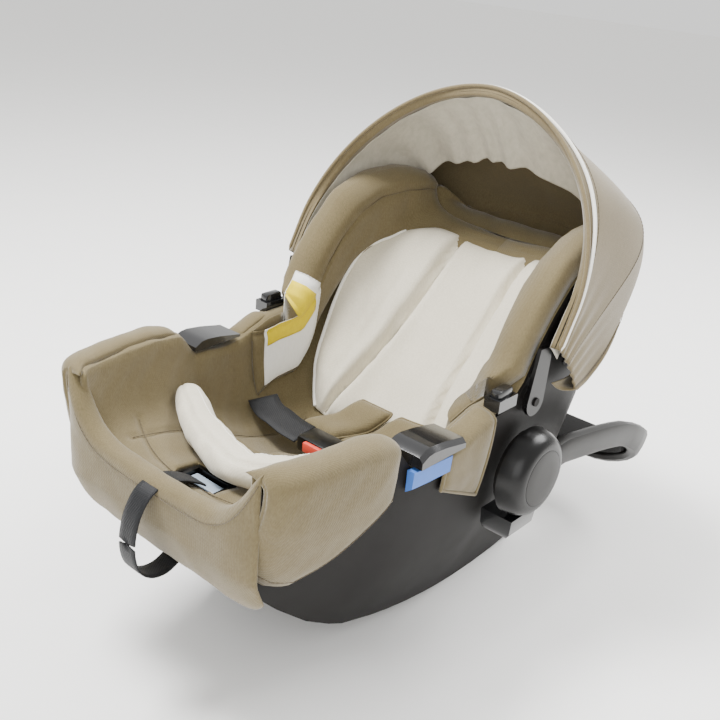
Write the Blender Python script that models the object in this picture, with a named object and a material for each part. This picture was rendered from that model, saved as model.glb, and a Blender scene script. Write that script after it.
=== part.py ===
"""Infant carrier car seat: a rocker shell with a padded cover, harness, swing handle and canopy.

Sizes are in millimetres and become metres when a mesh is made. X points to the child's left and
the carrier's mid-plane is X = 0, Y points to the head end, Z is up. Y = 0 is where the rocker
touches the floor, until place() moves the model so that its origin is under its middle.
"""
import math

import bmesh
import bpy
import numpy as np
from mathutils import Matrix, Vector

MM = 0.001
GAP = 0.3  # clearance that touching pieces keep
CENTRE_Y = -56.8  # middle of the footprint, moved to the origin

# ---- shell -------------------------------------------------------------------------------------
SEAT_HALF_WIDTH = 184.0  # outside of the shell's widest rim, from the mid-plane
SHELL_WALL = 4.0
ROCKER_RADIUS = 720.0
ROCKER_FLAT = 30.0
ROCKER_START = -250.0
ROCKER_END = 120.0
FOOT_HALF_WIDTH = 106.0  # outside of the two rocker rails
FOOT_WIDTH = 14.0
CHANNEL_DEPTH = 22.0  # underside between the rails
SIDE_POWER = 1.8
TOE_Y = -412.0
HEAD_Y = 226.0
# y, half width as a share of the widest, rim height
RIM = (
    (TOE_Y, 0.80, 304), (-402, 0.85, 306), (-380, 0.88, 306), (-345, 0.91, 306), (-300, 0.935, 306),
    (-262, 0.955, 300), (-240, 0.965, 272), (-190, 0.975, 268), (-160, 0.98, 272), (-120, 0.99, 286),
    (-80, 0.995, 290), (-58, 1.0, 312), (-38, 1.0, 348), (-15, 1.0, 378), (15, 1.0, 408),
    (60, 0.99, 426), (110, 0.955, 430), (150, 0.89, 428), (182, 0.81, 420), (208, 0.70, 397),
    (HEAD_Y, 0.56, 372),
)
# y, height of the shell's lowest line where it isn't the rocker
UNDERSIDE_FRONT = ((TOE_Y, 205), (-400, 176), (-380, 151), (-345, 116), (-300, 77))
UNDERSIDE_REAR = ((150, 62), (182, 146), (208, 216), (HEAD_Y, 268))

# ---- seat surface, the top of the padded lining --------------------------------------------------
LINING_INSET = 26.0  # the lining's top edge, in from the shell's outside
LINING_THICKNESS = 10.0
LINING_RISE = 8.0  # how far it stands over the shell's rim
SEAT_POWER = 3.2
# y, height of the seat's floor on the mid-plane
SEAT_FLOOR = (
    (-406.8, 231), (-360, 227), (-300, 214), (-240, 190), (-190, 168), (-140, 158), (-95, 164),
    (-76, 174), (-50, 190), (-10, 222), (35, 262), (80, 304), (120, 346), (155, 378), (176, 396), (190, 405),
)

# ---- handle ---------------------------------------------------------------------------------------
HUB_Y = -47.0
HUB_Z = 205.0
HUB_RADIUS = 53.0
HUB_DEPTH = 35.5  # from the shell's side to the cap's face
# middle line of the handle's arm in the side view, swung right back: y, z from the hub to the grip
HANDLE_LINE = (
    (-47, 205), (12, 213), (60, 205), (98, 198), (139, 189), (184, 176), (207, 165), (229, 152), (252, 134),
    (270, 114), (286, 90),
)
HANDLE_REACH = 372.0  # length of that line
HANDLE_CORNER = 92.0
BAR_WIDTH = 34.0
BAR_THICKNESS = 19.5
GRIP_WIDTH = 50.0
GRIP_INSERT = 5.0
PIVOT_RADIUS = 6.0
GEAR_RADIUS = 26.0
GEAR_TEETH = 8
GEAR_THICKNESS = 9.0
GEAR_TRAVEL = 4.0

# ---- canopy ---------------------------------------------------------------------------------------
CANOPY_Y = -44.0  # hinge of the canopy's arms
CANOPY_Z = 290.0
HOOP_Y = -64.0  # front hoop's plane at HOOP_LOW's height 300, and how it leans back
HOOP_LEAN = 0.486
HOOP_HALF_WIDTH = 208.0
HOOP_TOP = 593.0
HOOP_MIDDLE = 394.0  # height where the hoop is widest
HOOP_POWER = 1.86
HOOP_LOW = 355.0
CANOPY_THICKNESS = 3.0
SHOULDER_BULGE = 55.0
BOW_WIDTH = 0.04  # share of the canopy's length
BOW_THICKNESS = 3.0
# the canopy's rear edge, from the left side round to the mid-plane behind the head end
CANOPY_EDGE = (
    (200, 30, 285), (190, 75, 282), (182, 130, 300), (168, 180, 330), (140, 222, 365), (100, 245, 390),
    (50, 256, 400), (0, 260, 402),
)

LEG_WIDTH = 44.0  # the insert's leg rolls
LEG_THICKNESS = 32.0

# ---- harness --------------------------------------------------------------------------------------
WEBBING_WIDTH = 38.0
WEBBING_THICKNESS = 1.6
BUCKLE_Y = -172.0
BUCKLE_TRAVEL = 3.0
ADJUSTER_Y = -352.0
ADJUSTER_LENGTH = 34.0
ADJUSTER_WIDTH = 58.0
STRAP_WIDTH = 25.0
STRAP_THICKNESS = 1.8

COLOURS = {
    "shell_plastic": ((0.045, 0.041, 0.038), 0.55, 0.0),
    "handle_plastic": ((0.050, 0.048, 0.045), 0.48, 0.0),
    "satin_plastic": ((0.020, 0.021, 0.023), 0.35, 0.0),
    "gloss_plastic": ((0.012, 0.012, 0.014), 0.12, 0.0),
    "grip_plastic": ((0.018, 0.018, 0.019), 0.60, 0.0),
    "guide_blue": ((0.13, 0.26, 0.62), 0.40, 0.0),
    "adjuster_grey": ((0.30, 0.36, 0.42), 0.35, 0.0),
    "button_red": ((0.70, 0.05, 0.03), 0.30, 0.0),
    "steel": ((0.55, 0.56, 0.58), 0.35, 1.0),
    "cover_fabric": ((0.36, 0.31, 0.22), 0.90, 0.0),
    "canopy_fabric": ((0.38, 0.33, 0.24), 0.90, 0.0),
    "insert_fabric": ((0.78, 0.75, 0.68), 0.90, 0.0),
    "webbing": ((0.018, 0.019, 0.022), 0.65, 0.0),
    "foam": ((0.88, 0.88, 0.86), 0.85, 0.0),
}


def clear_scene():
    for piece in list(bpy.data.objects):
        bpy.data.objects.remove(piece, do_unlink=True)


def material(name):
    """A Principled material with one of the object's finishes, made once and shared."""
    if name in bpy.data.materials:
        return bpy.data.materials[name]
    colour, roughness, metallic = COLOURS[name]
    made = bpy.data.materials.new(name)
    made.use_nodes = True
    shader = made.node_tree.nodes["Principled BSDF"]
    shader.inputs["Base Color"].default_value = (*colour, 1.0)
    shader.inputs["Roughness"].default_value = roughness
    shader.inputs["Metallic"].default_value = metallic
    return made


# ---- making solids --------------------------------------------------------------------------------
def solid(name, points, faces, finish, axis=None):
    """One object from points in millimetres. axis is the (x, y, z) that its own origin lies on."""
    origin = np.array(axis if axis is not None else (0.0, 0.0, 0.0), float)
    points = np.asarray(points, float) - origin
    mesh = bpy.data.meshes.new(name)
    mesh.from_pydata([tuple(p * MM) for p in points], [], [tuple(f) for f in faces])
    work = bmesh.new()
    work.from_mesh(mesh)
    bmesh.ops.remove_doubles(work, verts=work.verts, dist=1e-6)
    bmesh.ops.recalc_face_normals(work, faces=work.faces)
    work.to_mesh(mesh)
    work.free()
    mesh.shade_smooth()
    mesh.set_sharp_from_angle(angle=math.radians(35))
    mesh.materials.append(material(finish))
    made = bpy.data.objects.new(name, mesh)
    made.location = Vector(origin * MM)
    bpy.context.collection.objects.link(made)
    return made


def strip(first, second):
    """Quads between two equally long rows of point numbers."""
    return [(a, b, d, c) for a, b, c, d in zip(first, first[1:], second, second[1:])]


def sheet_solid(name, top, bottom, finish, axis=None):
    """A closed plate between two grids of points, row by row."""
    top = np.asarray(top, float)
    bottom = np.asarray(bottom, float)
    rows, columns = top.shape[:2]
    upper = np.arange(rows * columns).reshape(rows, columns)
    lower = upper + rows * columns
    faces = []
    for row in range(rows - 1):
        faces += strip(list(upper[row]), list(upper[row + 1]))
        faces += strip(list(lower[row]), list(lower[row + 1]))
    for edge in ((0, slice(None)), (-1, slice(None)), (slice(None), 0), (slice(None), -1)):
        faces += strip(list(upper[edge]), list(lower[edge]))
    points = np.concatenate([top.reshape(-1, 3), bottom.reshape(-1, 3)])
    return solid(name, points, faces, finish, axis)


def lofted(name, rings, finish, axis=None):
    """A solid through closed rings of points, with flat ends."""
    rings = np.asarray(rings, float)
    count, around = rings.shape[:2]
    numbers = np.arange(count * around).reshape(count, around)
    faces = [tuple(numbers[0]), tuple(numbers[-1])]
    for first, second in zip(numbers, numbers[1:]):
        faces += strip(list(first) + [first[0]], list(second) + [second[0]])
    return solid(name, rings.reshape(-1, 3), faces, finish, axis)


def turned(name, profile, centre, finish, side=1, steps=32, closed_ring=False, axis=None):
    """A profile of (x, radius) turned about the X axis through centre. side = -1 mirrors it in X.

    A closed ring's profile comes back to its start, so the solid has a bore.
    """
    angles = np.linspace(0, 2 * math.pi, steps, endpoint=False)
    rings = []
    for along, radius in profile:
        ring = np.stack([
            np.full(steps, side * along),
            centre[0] + radius * np.cos(angles),
            centre[1] + radius * np.sin(angles),
        ], 1)
        rings.append(ring)
    if not closed_ring:
        return lofted(name, rings, finish, axis)
    numbers = np.arange(len(rings) * steps).reshape(len(rings), steps)
    faces = []
    for row in range(len(rings)):
        first = numbers[row]
        second = numbers[(row + 1) % len(rings)]
        faces += strip(list(first) + [first[0]], list(second) + [second[0]])
    return solid(name, np.concatenate(rings), faces, finish, axis)


def block(name, low, high, finish, bevel=0.0, axis=None):
    """A box between two corners, with rounded edges."""
    low = np.array(low, float)
    high = np.array(high, float)
    corners = np.array([
        [(low, high)[i][0], (low, high)[j][1], (low, high)[k][2]]
        for k in (0, 1) for i, j in ((0, 0), (1, 0), (1, 1), (0, 1))
    ])
    made = lofted(name, corners.reshape(2, 4, 3), finish, axis)
    if bevel:
        add_bevel(made, bevel)
    return made


def add_bevel(piece, width, segments=2):
    rounding = piece.modifiers.new("rounding", "BEVEL")
    rounding.width = width * MM
    rounding.segments = segments
    rounding.limit_method = "ANGLE"
    return rounding


def cut(piece, cutter):
    """Takes a hidden cutter's shape out of a piece."""
    cutter.hide_render = True
    cutter.display_type = "WIRE"
    hole = piece.modifiers.new("cut", "BOOLEAN")
    hole.operation = "DIFFERENCE"
    hole.solver = "EXACT"
    hole.object = cutter
    return hole


def pillow(name, centre, along, across, up, size, finish, power=2.5, around=16, rows=9, axis=None):
    """A soft pad: a superellipsoid with its own three directions and its full sizes."""
    centre, along, across, up = (np.array(v, float) for v in (centre, along, across, up))
    half = np.array(size, float) / 2
    rings = []
    for turn in np.linspace(-0.5 * math.pi, 0.5 * math.pi, rows + 2)[1:-1]:
        reach = abs(math.cos(turn)) ** (2 / power)
        offset = math.copysign(abs(math.sin(turn)) ** (2 / power), turn)
        ring = []
        for angle in np.linspace(0, 2 * math.pi, around, endpoint=False):
            a = math.copysign(abs(math.cos(angle)) ** (2 / power), math.cos(angle))
            b = math.copysign(abs(math.sin(angle)) ** (2 / power), math.sin(angle))
            ring.append(centre + along * offset * half[0] + across * reach * a * half[1]
                        + up * reach * b * half[2])
        rings.append(ring)
    return lofted(name, rings, finish, axis)


def mirrored(points):
    """The same points on the other side of the mid-plane."""
    return np.asarray(points, float) * (-1, 1, 1)


SIDES = (("left", 1), ("right", -1))


# ---- the shell's surface ------------------------------------------------------------------------
def curve_value(y, table, column=1):
    return float(np.interp(y, [row[0] for row in table], [row[column] for row in table]))


def rim_height(y):
    return curve_value(y, RIM, 2)


def half_width(y):
    return SEAT_HALF_WIDTH * curve_value(y, RIM, 1)


def circle_drop(y):
    return ROCKER_RADIUS - math.sqrt(ROCKER_RADIUS ** 2 - y ** 2)


def rocker_height(y):
    """The rocker's circle, with the short flat that it rests on around y = 0."""
    return max(0.0, circle_drop(y) - circle_drop(ROCKER_FLAT / 2))


def foot_height(y):
    if y < ROCKER_START:
        return curve_value(y, UNDERSIDE_FRONT + ((ROCKER_START, rocker_height(ROCKER_START)),))
    if y > ROCKER_END:
        return curve_value(y, ((ROCKER_END, rocker_height(ROCKER_END)),) + UNDERSIDE_REAR)
    return rocker_height(y)


def foot_half_width(y):
    return min(FOOT_HALF_WIDTH, 0.82 * half_width(y))


def side_x(y, z):
    """Outside of the shell's wall at a height: widest at the rim, drawn in to the rocker rail."""
    top, low = rim_height(y), foot_height(y)
    share = min(max((top - z) / (top - low), 0.0), 1.0)
    foot = foot_half_width(y)
    return foot + (half_width(y) - foot) * (1 - share ** SIDE_POWER)


def shell_section(y):
    """Half of the shell's outline across the carrier, from the rim to the mid-plane."""
    top, low, foot = rim_height(y), foot_height(y), foot_half_width(y)
    depth = CHANNEL_DEPTH * min(1.0, max(0.0, (top - low) / 160.0))
    heights = [top + (low - top) * share for share in np.linspace(0, 1, 8)]
    points = [(side_x(y, z), z) for z in heights]
    points += [(foot - FOOT_WIDTH, low), (foot - FOOT_WIDTH - 7, low + depth),
               (foot * 0.45, low + depth + 1), (0.0, low + depth + 2)]
    return np.array(points)


def offset_section(points, distance):
    """Moves an outline towards its inside by a distance, keeping its first height and its last x."""
    steps = np.diff(points, axis=0)
    steps /= np.linalg.norm(steps, axis=1)[:, None]
    normals = np.stack([steps[:, 1], -steps[:, 0]], 1)
    joined = np.vstack([normals[:1], normals[:-1] + normals[1:], normals[-1:]])
    joined /= np.linalg.norm(joined, axis=1)[:, None]
    bend = np.clip(np.sum(joined * np.vstack([normals, normals[-1:]]), axis=1), 0.6, 1.0)
    moved = points + joined * (distance / bend)[:, None]
    moved[0, 1] = points[0, 1]
    moved[-1, 0] = points[-1, 0]
    return moved


def both_halves(y, section):
    left = np.array([(x, y, z) for x, z in section])
    return np.vstack([left, mirrored(left[:-1])[::-1]])


def toe_top(x, width):
    """The toe's front edge dips in the middle and climbs to the side wings."""
    share = abs(x) / width
    return TOE_DIP + (rim_height(TOE_Y) - TOE_DIP) * share ** 5


TOE_DIP = 228.0


def build_shell():
    """The bucket: an outer and an inner surface, closed by a wall at each end and a flat rim."""
    outer = []
    inner = []
    for y, _, _ in RIM:
        section = shell_section(y)
        outer.append(both_halves(y, section))
        inside_y = min(max(y, TOE_Y + SHELL_WALL), HEAD_Y - SHELL_WALL)
        inside = offset_section(shell_section(inside_y), SHELL_WALL)
        inner.append(both_halves(inside_y, inside))
    outer, inner = np.array(outer), np.array(inner)
    rows, columns = outer.shape[:2]
    grids = [np.arange(rows * columns).reshape(rows, columns) + k * rows * columns for k in (0, 1)]
    points = [outer.reshape(-1, 3), inner.reshape(-1, 3)]
    faces = []
    for grid in grids:
        for row in range(rows - 1):
            faces += strip(list(grid[row]), list(grid[row + 1]))
    for side in (0, columns - 1):
        faces += strip(list(grids[0][:, side]), list(grids[1][:, side]))
    base = 2 * rows * columns
    for row in (0, rows - 1):
        tops = []
        for grid, surface in zip(grids, (outer, inner)):
            top = surface[row].copy()
            width = abs(top[0, 0])
            for point in top[1:-1]:
                height = toe_top(point[0], width) if row == 0 else rim_height(HEAD_Y)
                point[2] = max(height, point[2] + 0.5)
            numbers = [grid[row][0]] + [base + k for k in range(columns - 2)] + [grid[row][-1]]
            base += columns - 2
            points.append(top[1:-1])
            faces += strip(list(grid[row]), numbers)
            tops.append(numbers)
        faces += strip(tops[0], tops[1])
    made = solid("shell", np.concatenate(points), faces, "shell_plastic")
    return made


# ---- the seat's surface ---------------------------------------------------------------------------
def seat_width(y):
    return half_width(y) - LINING_INSET


def seat_height(x, y):
    """Top of the lining: a flat-bottomed trough between its top edges."""
    top = rim_height(y) + LINING_RISE
    floor = curve_value(y, SEAT_FLOOR)
    share = min(abs(x) / seat_width(y), 1.0)
    return top - (top - floor) * (1 - share ** SEAT_POWER) ** (1 / SEAT_POWER)


def seat_point(x, y, lift=0.0):
    """A point on the seat's surface, lifted along its normal."""
    step = 2.0
    here = np.array([x, y, seat_height(x, y)])
    across = np.array([2 * step, 0, seat_height(x + step, y) - seat_height(x - step, y)])
    along = np.array([0, 2 * step, seat_height(x, y + step) - seat_height(x, y - step)])
    normal = np.cross(across, along)
    normal /= np.linalg.norm(normal)
    return here + normal * lift


def seat_section(y, lift):
    """One row of the lining: an even walk round the trough, moved out along its own normal."""
    width, top, floor = seat_width(y), rim_height(y) + LINING_RISE, curve_value(y, SEAT_FLOOR)
    angles = np.linspace(0, 0.5 * math.pi, 9)
    points = np.array([
        (width * math.cos(a) ** (2 / SEAT_POWER), top - (top - floor) * math.sin(a) ** (2 / SEAT_POWER))
        for a in angles
    ])
    points[-1] = (0.0, floor)
    return both_halves(y, offset_section(points, -lift) if lift else points)


def build_lining():
    stations = np.array([row[0] for row in SEAT_FLOOR], float)
    top = [seat_section(y, 0.0) for y in stations]
    bottom = [seat_section(y, LINING_THICKNESS) for y in stations]
    made = sheet_solid("seat_lining", top, bottom, "cover_fabric")
    opening = block("adjuster_opening", (-ADJUSTER_WIDTH / 2 - 2, ADJUSTER_Y - ADJUSTER_LENGTH / 2 - 2, 150),
                    (ADJUSTER_WIDTH / 2 + 2, ADJUSTER_Y + ADJUSTER_LENGTH / 2 + 2, 260), "foam")
    cut(made, opening)
    buckle_slot = block("buckle_opening", (-24, BUCKLE_Y - 8, 120), (24, BUCKLE_Y + 8, 200), "foam")
    cut(made, buckle_slot)


def build_back_foam():
    """The rigid foam liner between the lining's back and the shell."""
    lift = LINING_THICKNESS + 2.0
    thickness = 18.0
    stations = np.linspace(-20, 165, 9)
    columns = np.linspace(-96, 96, 7)
    top = [[seat_point(x, y, -lift) for x in columns] for y in stations]
    bottom = [[seat_point(x, y, -lift - thickness) for x in columns] for y in stations]
    sheet_solid("foam_liner", top, bottom, "foam")


# ---- the padded cover outside the shell --------------------------------------------------------------
COVER_OFF = 1.5
COVER_THICKNESS = 7.0
WING_REAR = -266.0
WING_RISE = 14.0
WING_CROWN = 28.0
WING_END = 165.0
FLAP_FRONT = -188.0
FLAP_REAR = -112.0


def side_panel(name, stations, top_of, hem_of, side, thickness=COVER_THICKNESS):
    """A fabric panel on the shell's side, from its top edge down to its hem."""
    outer = []
    inner = []
    for y in stations:
        heights = np.linspace(top_of(y), hem_of(y), 6)
        inner.append([(side * (side_x(y, z) + COVER_OFF), y, z) for z in heights])
        outer.append([(side * (side_x(y, z) + COVER_OFF + thickness), y, z) for z in heights])
    sheet_solid(name, outer, inner, "cover_fabric")


def wing_hem(y):
    """The wing's lower edge climbs from the toe's underside to the belt guide."""
    return curve_value(y, ((-410, 206), (-385, 180), (-364, 172), (-326, 196), (-289, 228), (-262, 250)))


def flap_hem(y):
    return curve_value(y, ((FLAP_FRONT, 229), (FLAP_REAR, 190)))


def build_cover():
    for word, side in SIDES:
        side_panel("cover_wing_" + word, [row[0] for row in RIM[:5]] + [-285, WING_REAR],
                   lambda y: rim_height(y) + WING_RISE, wing_hem, side)
        side_panel("cover_flap_" + word, np.linspace(FLAP_FRONT, FLAP_REAR, 5),
                   lambda y: rim_height(y) + 1.0, flap_hem, side, 5.0)
        build_head_wing(word, side)
    build_cover_front()


def build_cover_front():
    """The toe's front panel: over the front edge and under it to the hem."""
    width = half_width(TOE_Y) - 4.0
    columns = np.linspace(-width, width, 13)
    outer = []
    inner = []
    for share in np.linspace(0, 1, 5):
        row_out = []
        row_in = []
        for x in columns:
            top = toe_top(x, width) + 10.0
            corner = UNDERSIDE_FRONT[0][1]
            if share <= 0.5:
                y, z = TOE_Y - 2.0, top + (corner - 2.0 - top) * share * 2
                row_in.append((x, y, z))
                row_out.append((x, y - 8.0, z))
            else:
                y = TOE_Y + (share - 0.5) * 64.0 * (1 - 0.75 * (abs(x) / width) ** 4)
                z = curve_value(y, UNDERSIDE_FRONT)
                row_in.append((x, y - 2.2, z - 2.2))
                row_out.append((x, y - 8.2, z - 7.2))
        outer.append(row_out)
        inner.append(row_in)
    sheet_solid("cover_front", outer, inner, "cover_fabric")


def build_head_wing(word, side):
    """The padded bolster on top of the side wall beside the child's head."""
    bottom = []
    top = []
    for y in (-76, -50, -38, -26, -8, 20, 55, 95, 130, WING_END):
        base = rim_height(y) + LINING_RISE + 2.2
        outer_x = half_width(y) + 3.0
        inner_x = seat_width(y) - 24.0
        fade = min(1.0, (WING_END + 12.0 - y) / 60.0)
        row_low = []
        row_high = []
        for share in np.linspace(0, 1, 6):
            x = outer_x + (inner_x - outer_x) * share
            low = max(base, seat_height(x, y) + 1.5) if x < seat_width(y) else base
            crown = (WING_CROWN - 4.0) * math.sqrt(max(0.0, 1 - (2 * share - 1) ** 4)) * fade + 4.0
            row_low.append((side * x, y, low))
            row_high.append((side * x, y, base + crown))
        bottom.append(row_low)
        top.append(row_high)
    sheet_solid("head_wing_" + word, top, bottom, "cover_fabric")


# ---- newborn insert, pads and harness ------------------------------------------------------------------
def draped_pad(name, y_range, half_widths, lift, thickness, finish, x_shift=0.0, columns=9, rows=9):
    """A pad lying on the seat: it follows the seat's surface and thins towards its edges."""
    top = []
    bottom = []
    for share in np.linspace(0, 1, rows):
        y = y_range[0] + (y_range[1] - y_range[0]) * share
        half = float(np.interp(share, np.linspace(0, 1, len(half_widths)), half_widths))
        high = []
        low = []
        for across in np.linspace(-1, 1, columns):
            body = (1 - abs(across) ** 4) * (1 - abs(2 * share - 1) ** 4)
            x = x_shift + across * half
            low.append(seat_point(x, y, lift))
            high.append(seat_point(x, y, lift + 4.0 + (thickness - 4.0) * body))
        top.append(high)
        bottom.append(low)
    return sheet_solid(name, top, bottom, finish)


def build_insert():
    draped_pad("insert_back", (-84, 150), (84, 114, 126, 130, 130, 128, 120, 92), 2.0, 30.0, "insert_fabric")
    build_insert_legs()


def build_insert_legs():
    """The insert's two padded legs, one V-shaped roll that has slipped towards the child's left."""
    corners = np.array([(-150, -258), (-96, -282), (-40, -303), (4, -316), (34, -318), (60, -298), (88, -268)], float)
    ticks = np.concatenate([[0], np.cumsum(np.linalg.norm(np.diff(corners, axis=0), axis=1))])
    route = catmull(corners, ticks, np.linspace(0, ticks[-1], 15))
    share = np.linspace(-1, 1, len(route))
    rings = []
    for index, (x, y) in enumerate(route):
        along = route[min(index + 1, len(route) - 1)] - route[max(index - 1, 0)]
        side = np.array([-along[1], along[0]]) / np.linalg.norm(along)
        body = (1 - abs(share[index]) ** 5 * 0.75)
        centre = seat_point(x, y, 2.5 + LEG_THICKNESS / 2)
        centre[2] += (1 - body) * 6
        ring = []
        for angle in np.linspace(0, 2 * math.pi, 12, endpoint=False):
            wide = math.cos(angle) * LEG_WIDTH / 2 * body
            ring.append(centre + (side[0] * wide, side[1] * wide, math.sin(angle) * LEG_THICKNESS / 2 * body))
        rings.append(ring)
    lofted("insert_legs", rings, "insert_fabric")


def webbing_strip(name, route, width, thickness, finish, up=(0, 0, 1)):
    """Flat webbing along a route of points: its width stays level across the route."""
    route = np.asarray(route, float)
    rings = []
    for index, point in enumerate(route):
        before = route[max(index - 1, 0)]
        after = route[min(index + 1, len(route) - 1)]
        along = after - before
        along /= np.linalg.norm(along)
        side = np.cross(along, np.array(up, float))
        side /= np.linalg.norm(side)
        out = np.cross(side, along)
        rings.append([point + side * width / 2 * a + out * thickness / 2 * b
                      for a, b in ((-1, -1), (1, -1), (1, 1), (-1, 1))])
    return lofted(name, rings, finish)


def build_harness():
    for word, side in SIDES:
        rows = []
        for share in np.linspace(0, 1, 8):
            y = -148.0 + 106.0 * share
            x = side * (29.0 + 10.0 * share)
            rows.append((x, y))
        top = [[seat_point(x + a * 24, y, 40.0) for a in (-1, -0.5, 0, 0.5, 1)] for x, y in rows]
        low = [[seat_point(x + a * 24, y, 34.5) for a in (-1, -0.5, 0, 0.5, 1)] for x, y in rows]
        sheet_solid("shoulder_pad_" + word, top, low, "cover_fabric")
        hip = [seat_point(side * x, y, lift) for x, y, lift in
               ((138, -150, 12.0), (128, -158, 20.0), (114, -166, 26.0), (92, -172, 32.0), (66, -176, 33.0),
                (37, BUCKLE_Y - 4, 33.0))]
        webbing_strip("hip_strap_" + word, hip, WEBBING_WIDTH, WEBBING_THICKNESS, "webbing", (0, -0.2, 1))
    floor = curve_value(BUCKLE_Y, SEAT_FLOOR)
    front = BUCKLE_Y - 20
    body = block("buckle_body", (-27, front, floor + 24), (27, BUCKLE_Y + 14, floor + 44), "satin_plastic", 4)
    recess = block("buckle_recess", (-14, front - 9, floor + 28), (14, front + 8, floor + 42), "foam")
    cut(body, recess)
    block("buckle_button", (-13.5, front - 4, floor + 28.5), (13.5, front + 8 - BUCKLE_TRAVEL - GAP, floor + 41.5),
          "button_red", 2, axis=(0, front, floor + 35))
    webbing_strip("crotch_strap", [(0, BUCKLE_Y, floor - 18), (0, BUCKLE_Y, floor), (0, BUCKLE_Y - 1, floor + 24 - GAP)],
                  WEBBING_WIDTH, WEBBING_THICKNESS, "webbing", (0, 1, 0))
    draped_pad("crotch_pad", (BUCKLE_Y - 74, BUCKLE_Y - 12), (24, 28, 30), 3.0, 13.0, "cover_fabric",
               columns=7, rows=6)


def build_adjuster():
    """The harness adjuster under the opening in the toe: a housing, its lever and the pull strap."""
    floor = seat_height(0, ADJUSTER_Y)
    half_w, half_l = ADJUSTER_WIDTH / 2, ADJUSTER_LENGTH / 2
    low = floor - 26
    housing = block("adjuster_housing", (-half_w, ADJUSTER_Y - half_l, low), (half_w, ADJUSTER_Y + half_l, floor - 3),
                    "satin_plastic")
    pocket = block("adjuster_pocket", (-half_w + 5, ADJUSTER_Y - half_l + 5, low + 6),
                   (half_w - 5, ADJUSTER_Y + half_l - 5, floor + 8), "foam")
    cut(housing, pocket)
    lever_y = ADJUSTER_Y + half_l - 8
    block("adjuster_lever", (-half_w + 6, ADJUSTER_Y - half_l + 11, floor - 12), (half_w - 6, lever_y, floor - 7),
          "adjuster_grey", 1.5, axis=(0, lever_y, floor - 9.5))
    return floor


def pull_strap_route(floor):
    """Out of the adjuster, over the toe's front edge and down in one hanging loop to the hem."""
    start = (0.0, ADJUSTER_Y - 9.0, floor - 0.5)
    guide = [start, (0, ADJUSTER_Y - 20, floor + 7), (0, -392, 243), (0, -412, 246), (0, -428, 241),
             (0, -441, 224), (0, -448, 202), (0, -449, 178), (0, -442, 157), (0, -427, 145), (0, -409, 143),
             (0, -395, 149)]
    guide = np.array(guide, float)
    # a smooth curve through the guide points
    ticks = np.concatenate([[0], np.cumsum(np.linalg.norm(np.diff(guide, axis=0), axis=1))])
    wanted = np.linspace(0, ticks[-1], 34)
    return catmull(guide, ticks, wanted)


def catmull(points, ticks, wanted):
    """Reads a smooth curve through points at the wanted lengths along it."""
    slopes = np.gradient(points, ticks, axis=0)
    read = []
    for value in wanted:
        index = min(max(np.searchsorted(ticks, value) - 1, 0), len(ticks) - 2)
        span = ticks[index + 1] - ticks[index]
        t = (value - ticks[index]) / span
        weights = (2 * t ** 3 - 3 * t ** 2 + 1, t ** 3 - 2 * t ** 2 + t, 3 * t ** 2 - 2 * t ** 3, t ** 3 - t ** 2)
        read.append(weights[0] * points[index] + weights[1] * span * slopes[index]
                    + weights[2] * points[index + 1] + weights[3] * span * slopes[index + 1])
    return np.array(read)


def build_pull_strap(floor):
    route = pull_strap_route(floor)
    rings = []
    for index, point in enumerate(route):
        along = route[min(index + 1, len(route) - 1)] - route[max(index - 1, 0)]
        along /= np.linalg.norm(along)
        out = np.array([0, -along[2], along[1]])
        rings.append([point + np.array([a * STRAP_WIDTH / 2, 0, 0]) + out * b * STRAP_THICKNESS / 2
                      for a, b in ((-1, -1), (1, -1), (1, 1), (-1, 1))])
    lofted("adjuster_strap", rings, "webbing")


# ---- handle --------------------------------------------------------------------------------------------
HUB_INSIDE = SEAT_HALF_WIDTH + GAP
CAP_FACE = SEAT_HALF_WIDTH + HUB_DEPTH
ARM_X = CAP_FACE - 5.0 - BAR_THICKNESS / 2


def handle_point(share):
    """Middle line of the arm in the side view: 0 at the hub axis, 1 at the grip."""
    points = np.array(HANDLE_LINE, float)
    ticks = np.concatenate([[0], np.cumsum(np.linalg.norm(np.diff(points, axis=0), axis=1))])
    return catmull(points, ticks / ticks[-1], [share])[0]


def handle_path():
    """Points and bar directions along one arm, round the corner and across to the mid-plane."""
    start = 36.8 / HANDLE_REACH
    bend = 1 - HANDLE_CORNER / HANDLE_REACH
    stations = [(ARM_X, share) for share in np.linspace(start, bend, 9)]
    for turn in np.linspace(0, 0.5 * math.pi, 8)[1:]:
        stations.append((ARM_X - HANDLE_CORNER * (1 - math.cos(turn)), bend + (1 - bend) * math.sin(turn)))
    inner = ARM_X - HANDLE_CORNER
    stations += [(inner * share, 1.0) for share in (0.66, 0.33, 0.0)]
    return stations


def bar_rings(width, thickness, inward, first=0, power=3.0, around=12):
    """Rings of a rounded bar along the handle, from the left hub round to the right one."""
    stations = handle_path()[first:]
    stations += [(-x, share) for x, share in stations[-2::-1]]
    middle = np.array([(x, *handle_point(share)) for x, share in stations])
    rings = []
    for index, point in enumerate(middle):
        along = middle[min(index + 1, len(middle) - 1)] - middle[max(index - 1, 0)]
        along /= np.linalg.norm(along)
        share = stations[index][1]
        ahead = handle_point(min(share + 0.01, 1.0)) - handle_point(min(share + 0.01, 1.0) - 0.02)
        ahead /= np.linalg.norm(ahead)
        across = np.array([0.0, -ahead[1], ahead[0]])
        inside = np.cross(across, along)
        inside /= np.linalg.norm(inside)
        across = np.cross(along, inside)
        wide = width(share) / 2
        centre = point + inside * inward
        ring = []
        for angle in np.linspace(0, 2 * math.pi, around, endpoint=False):
            a = math.copysign(abs(math.cos(angle)) ** (2 / power), math.cos(angle))
            b = math.copysign(abs(math.sin(angle)) ** (2 / power), math.sin(angle))
            ring.append(centre + across * a * wide + inside * b * thickness / 2)
        rings.append(ring)
    return rings


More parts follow.
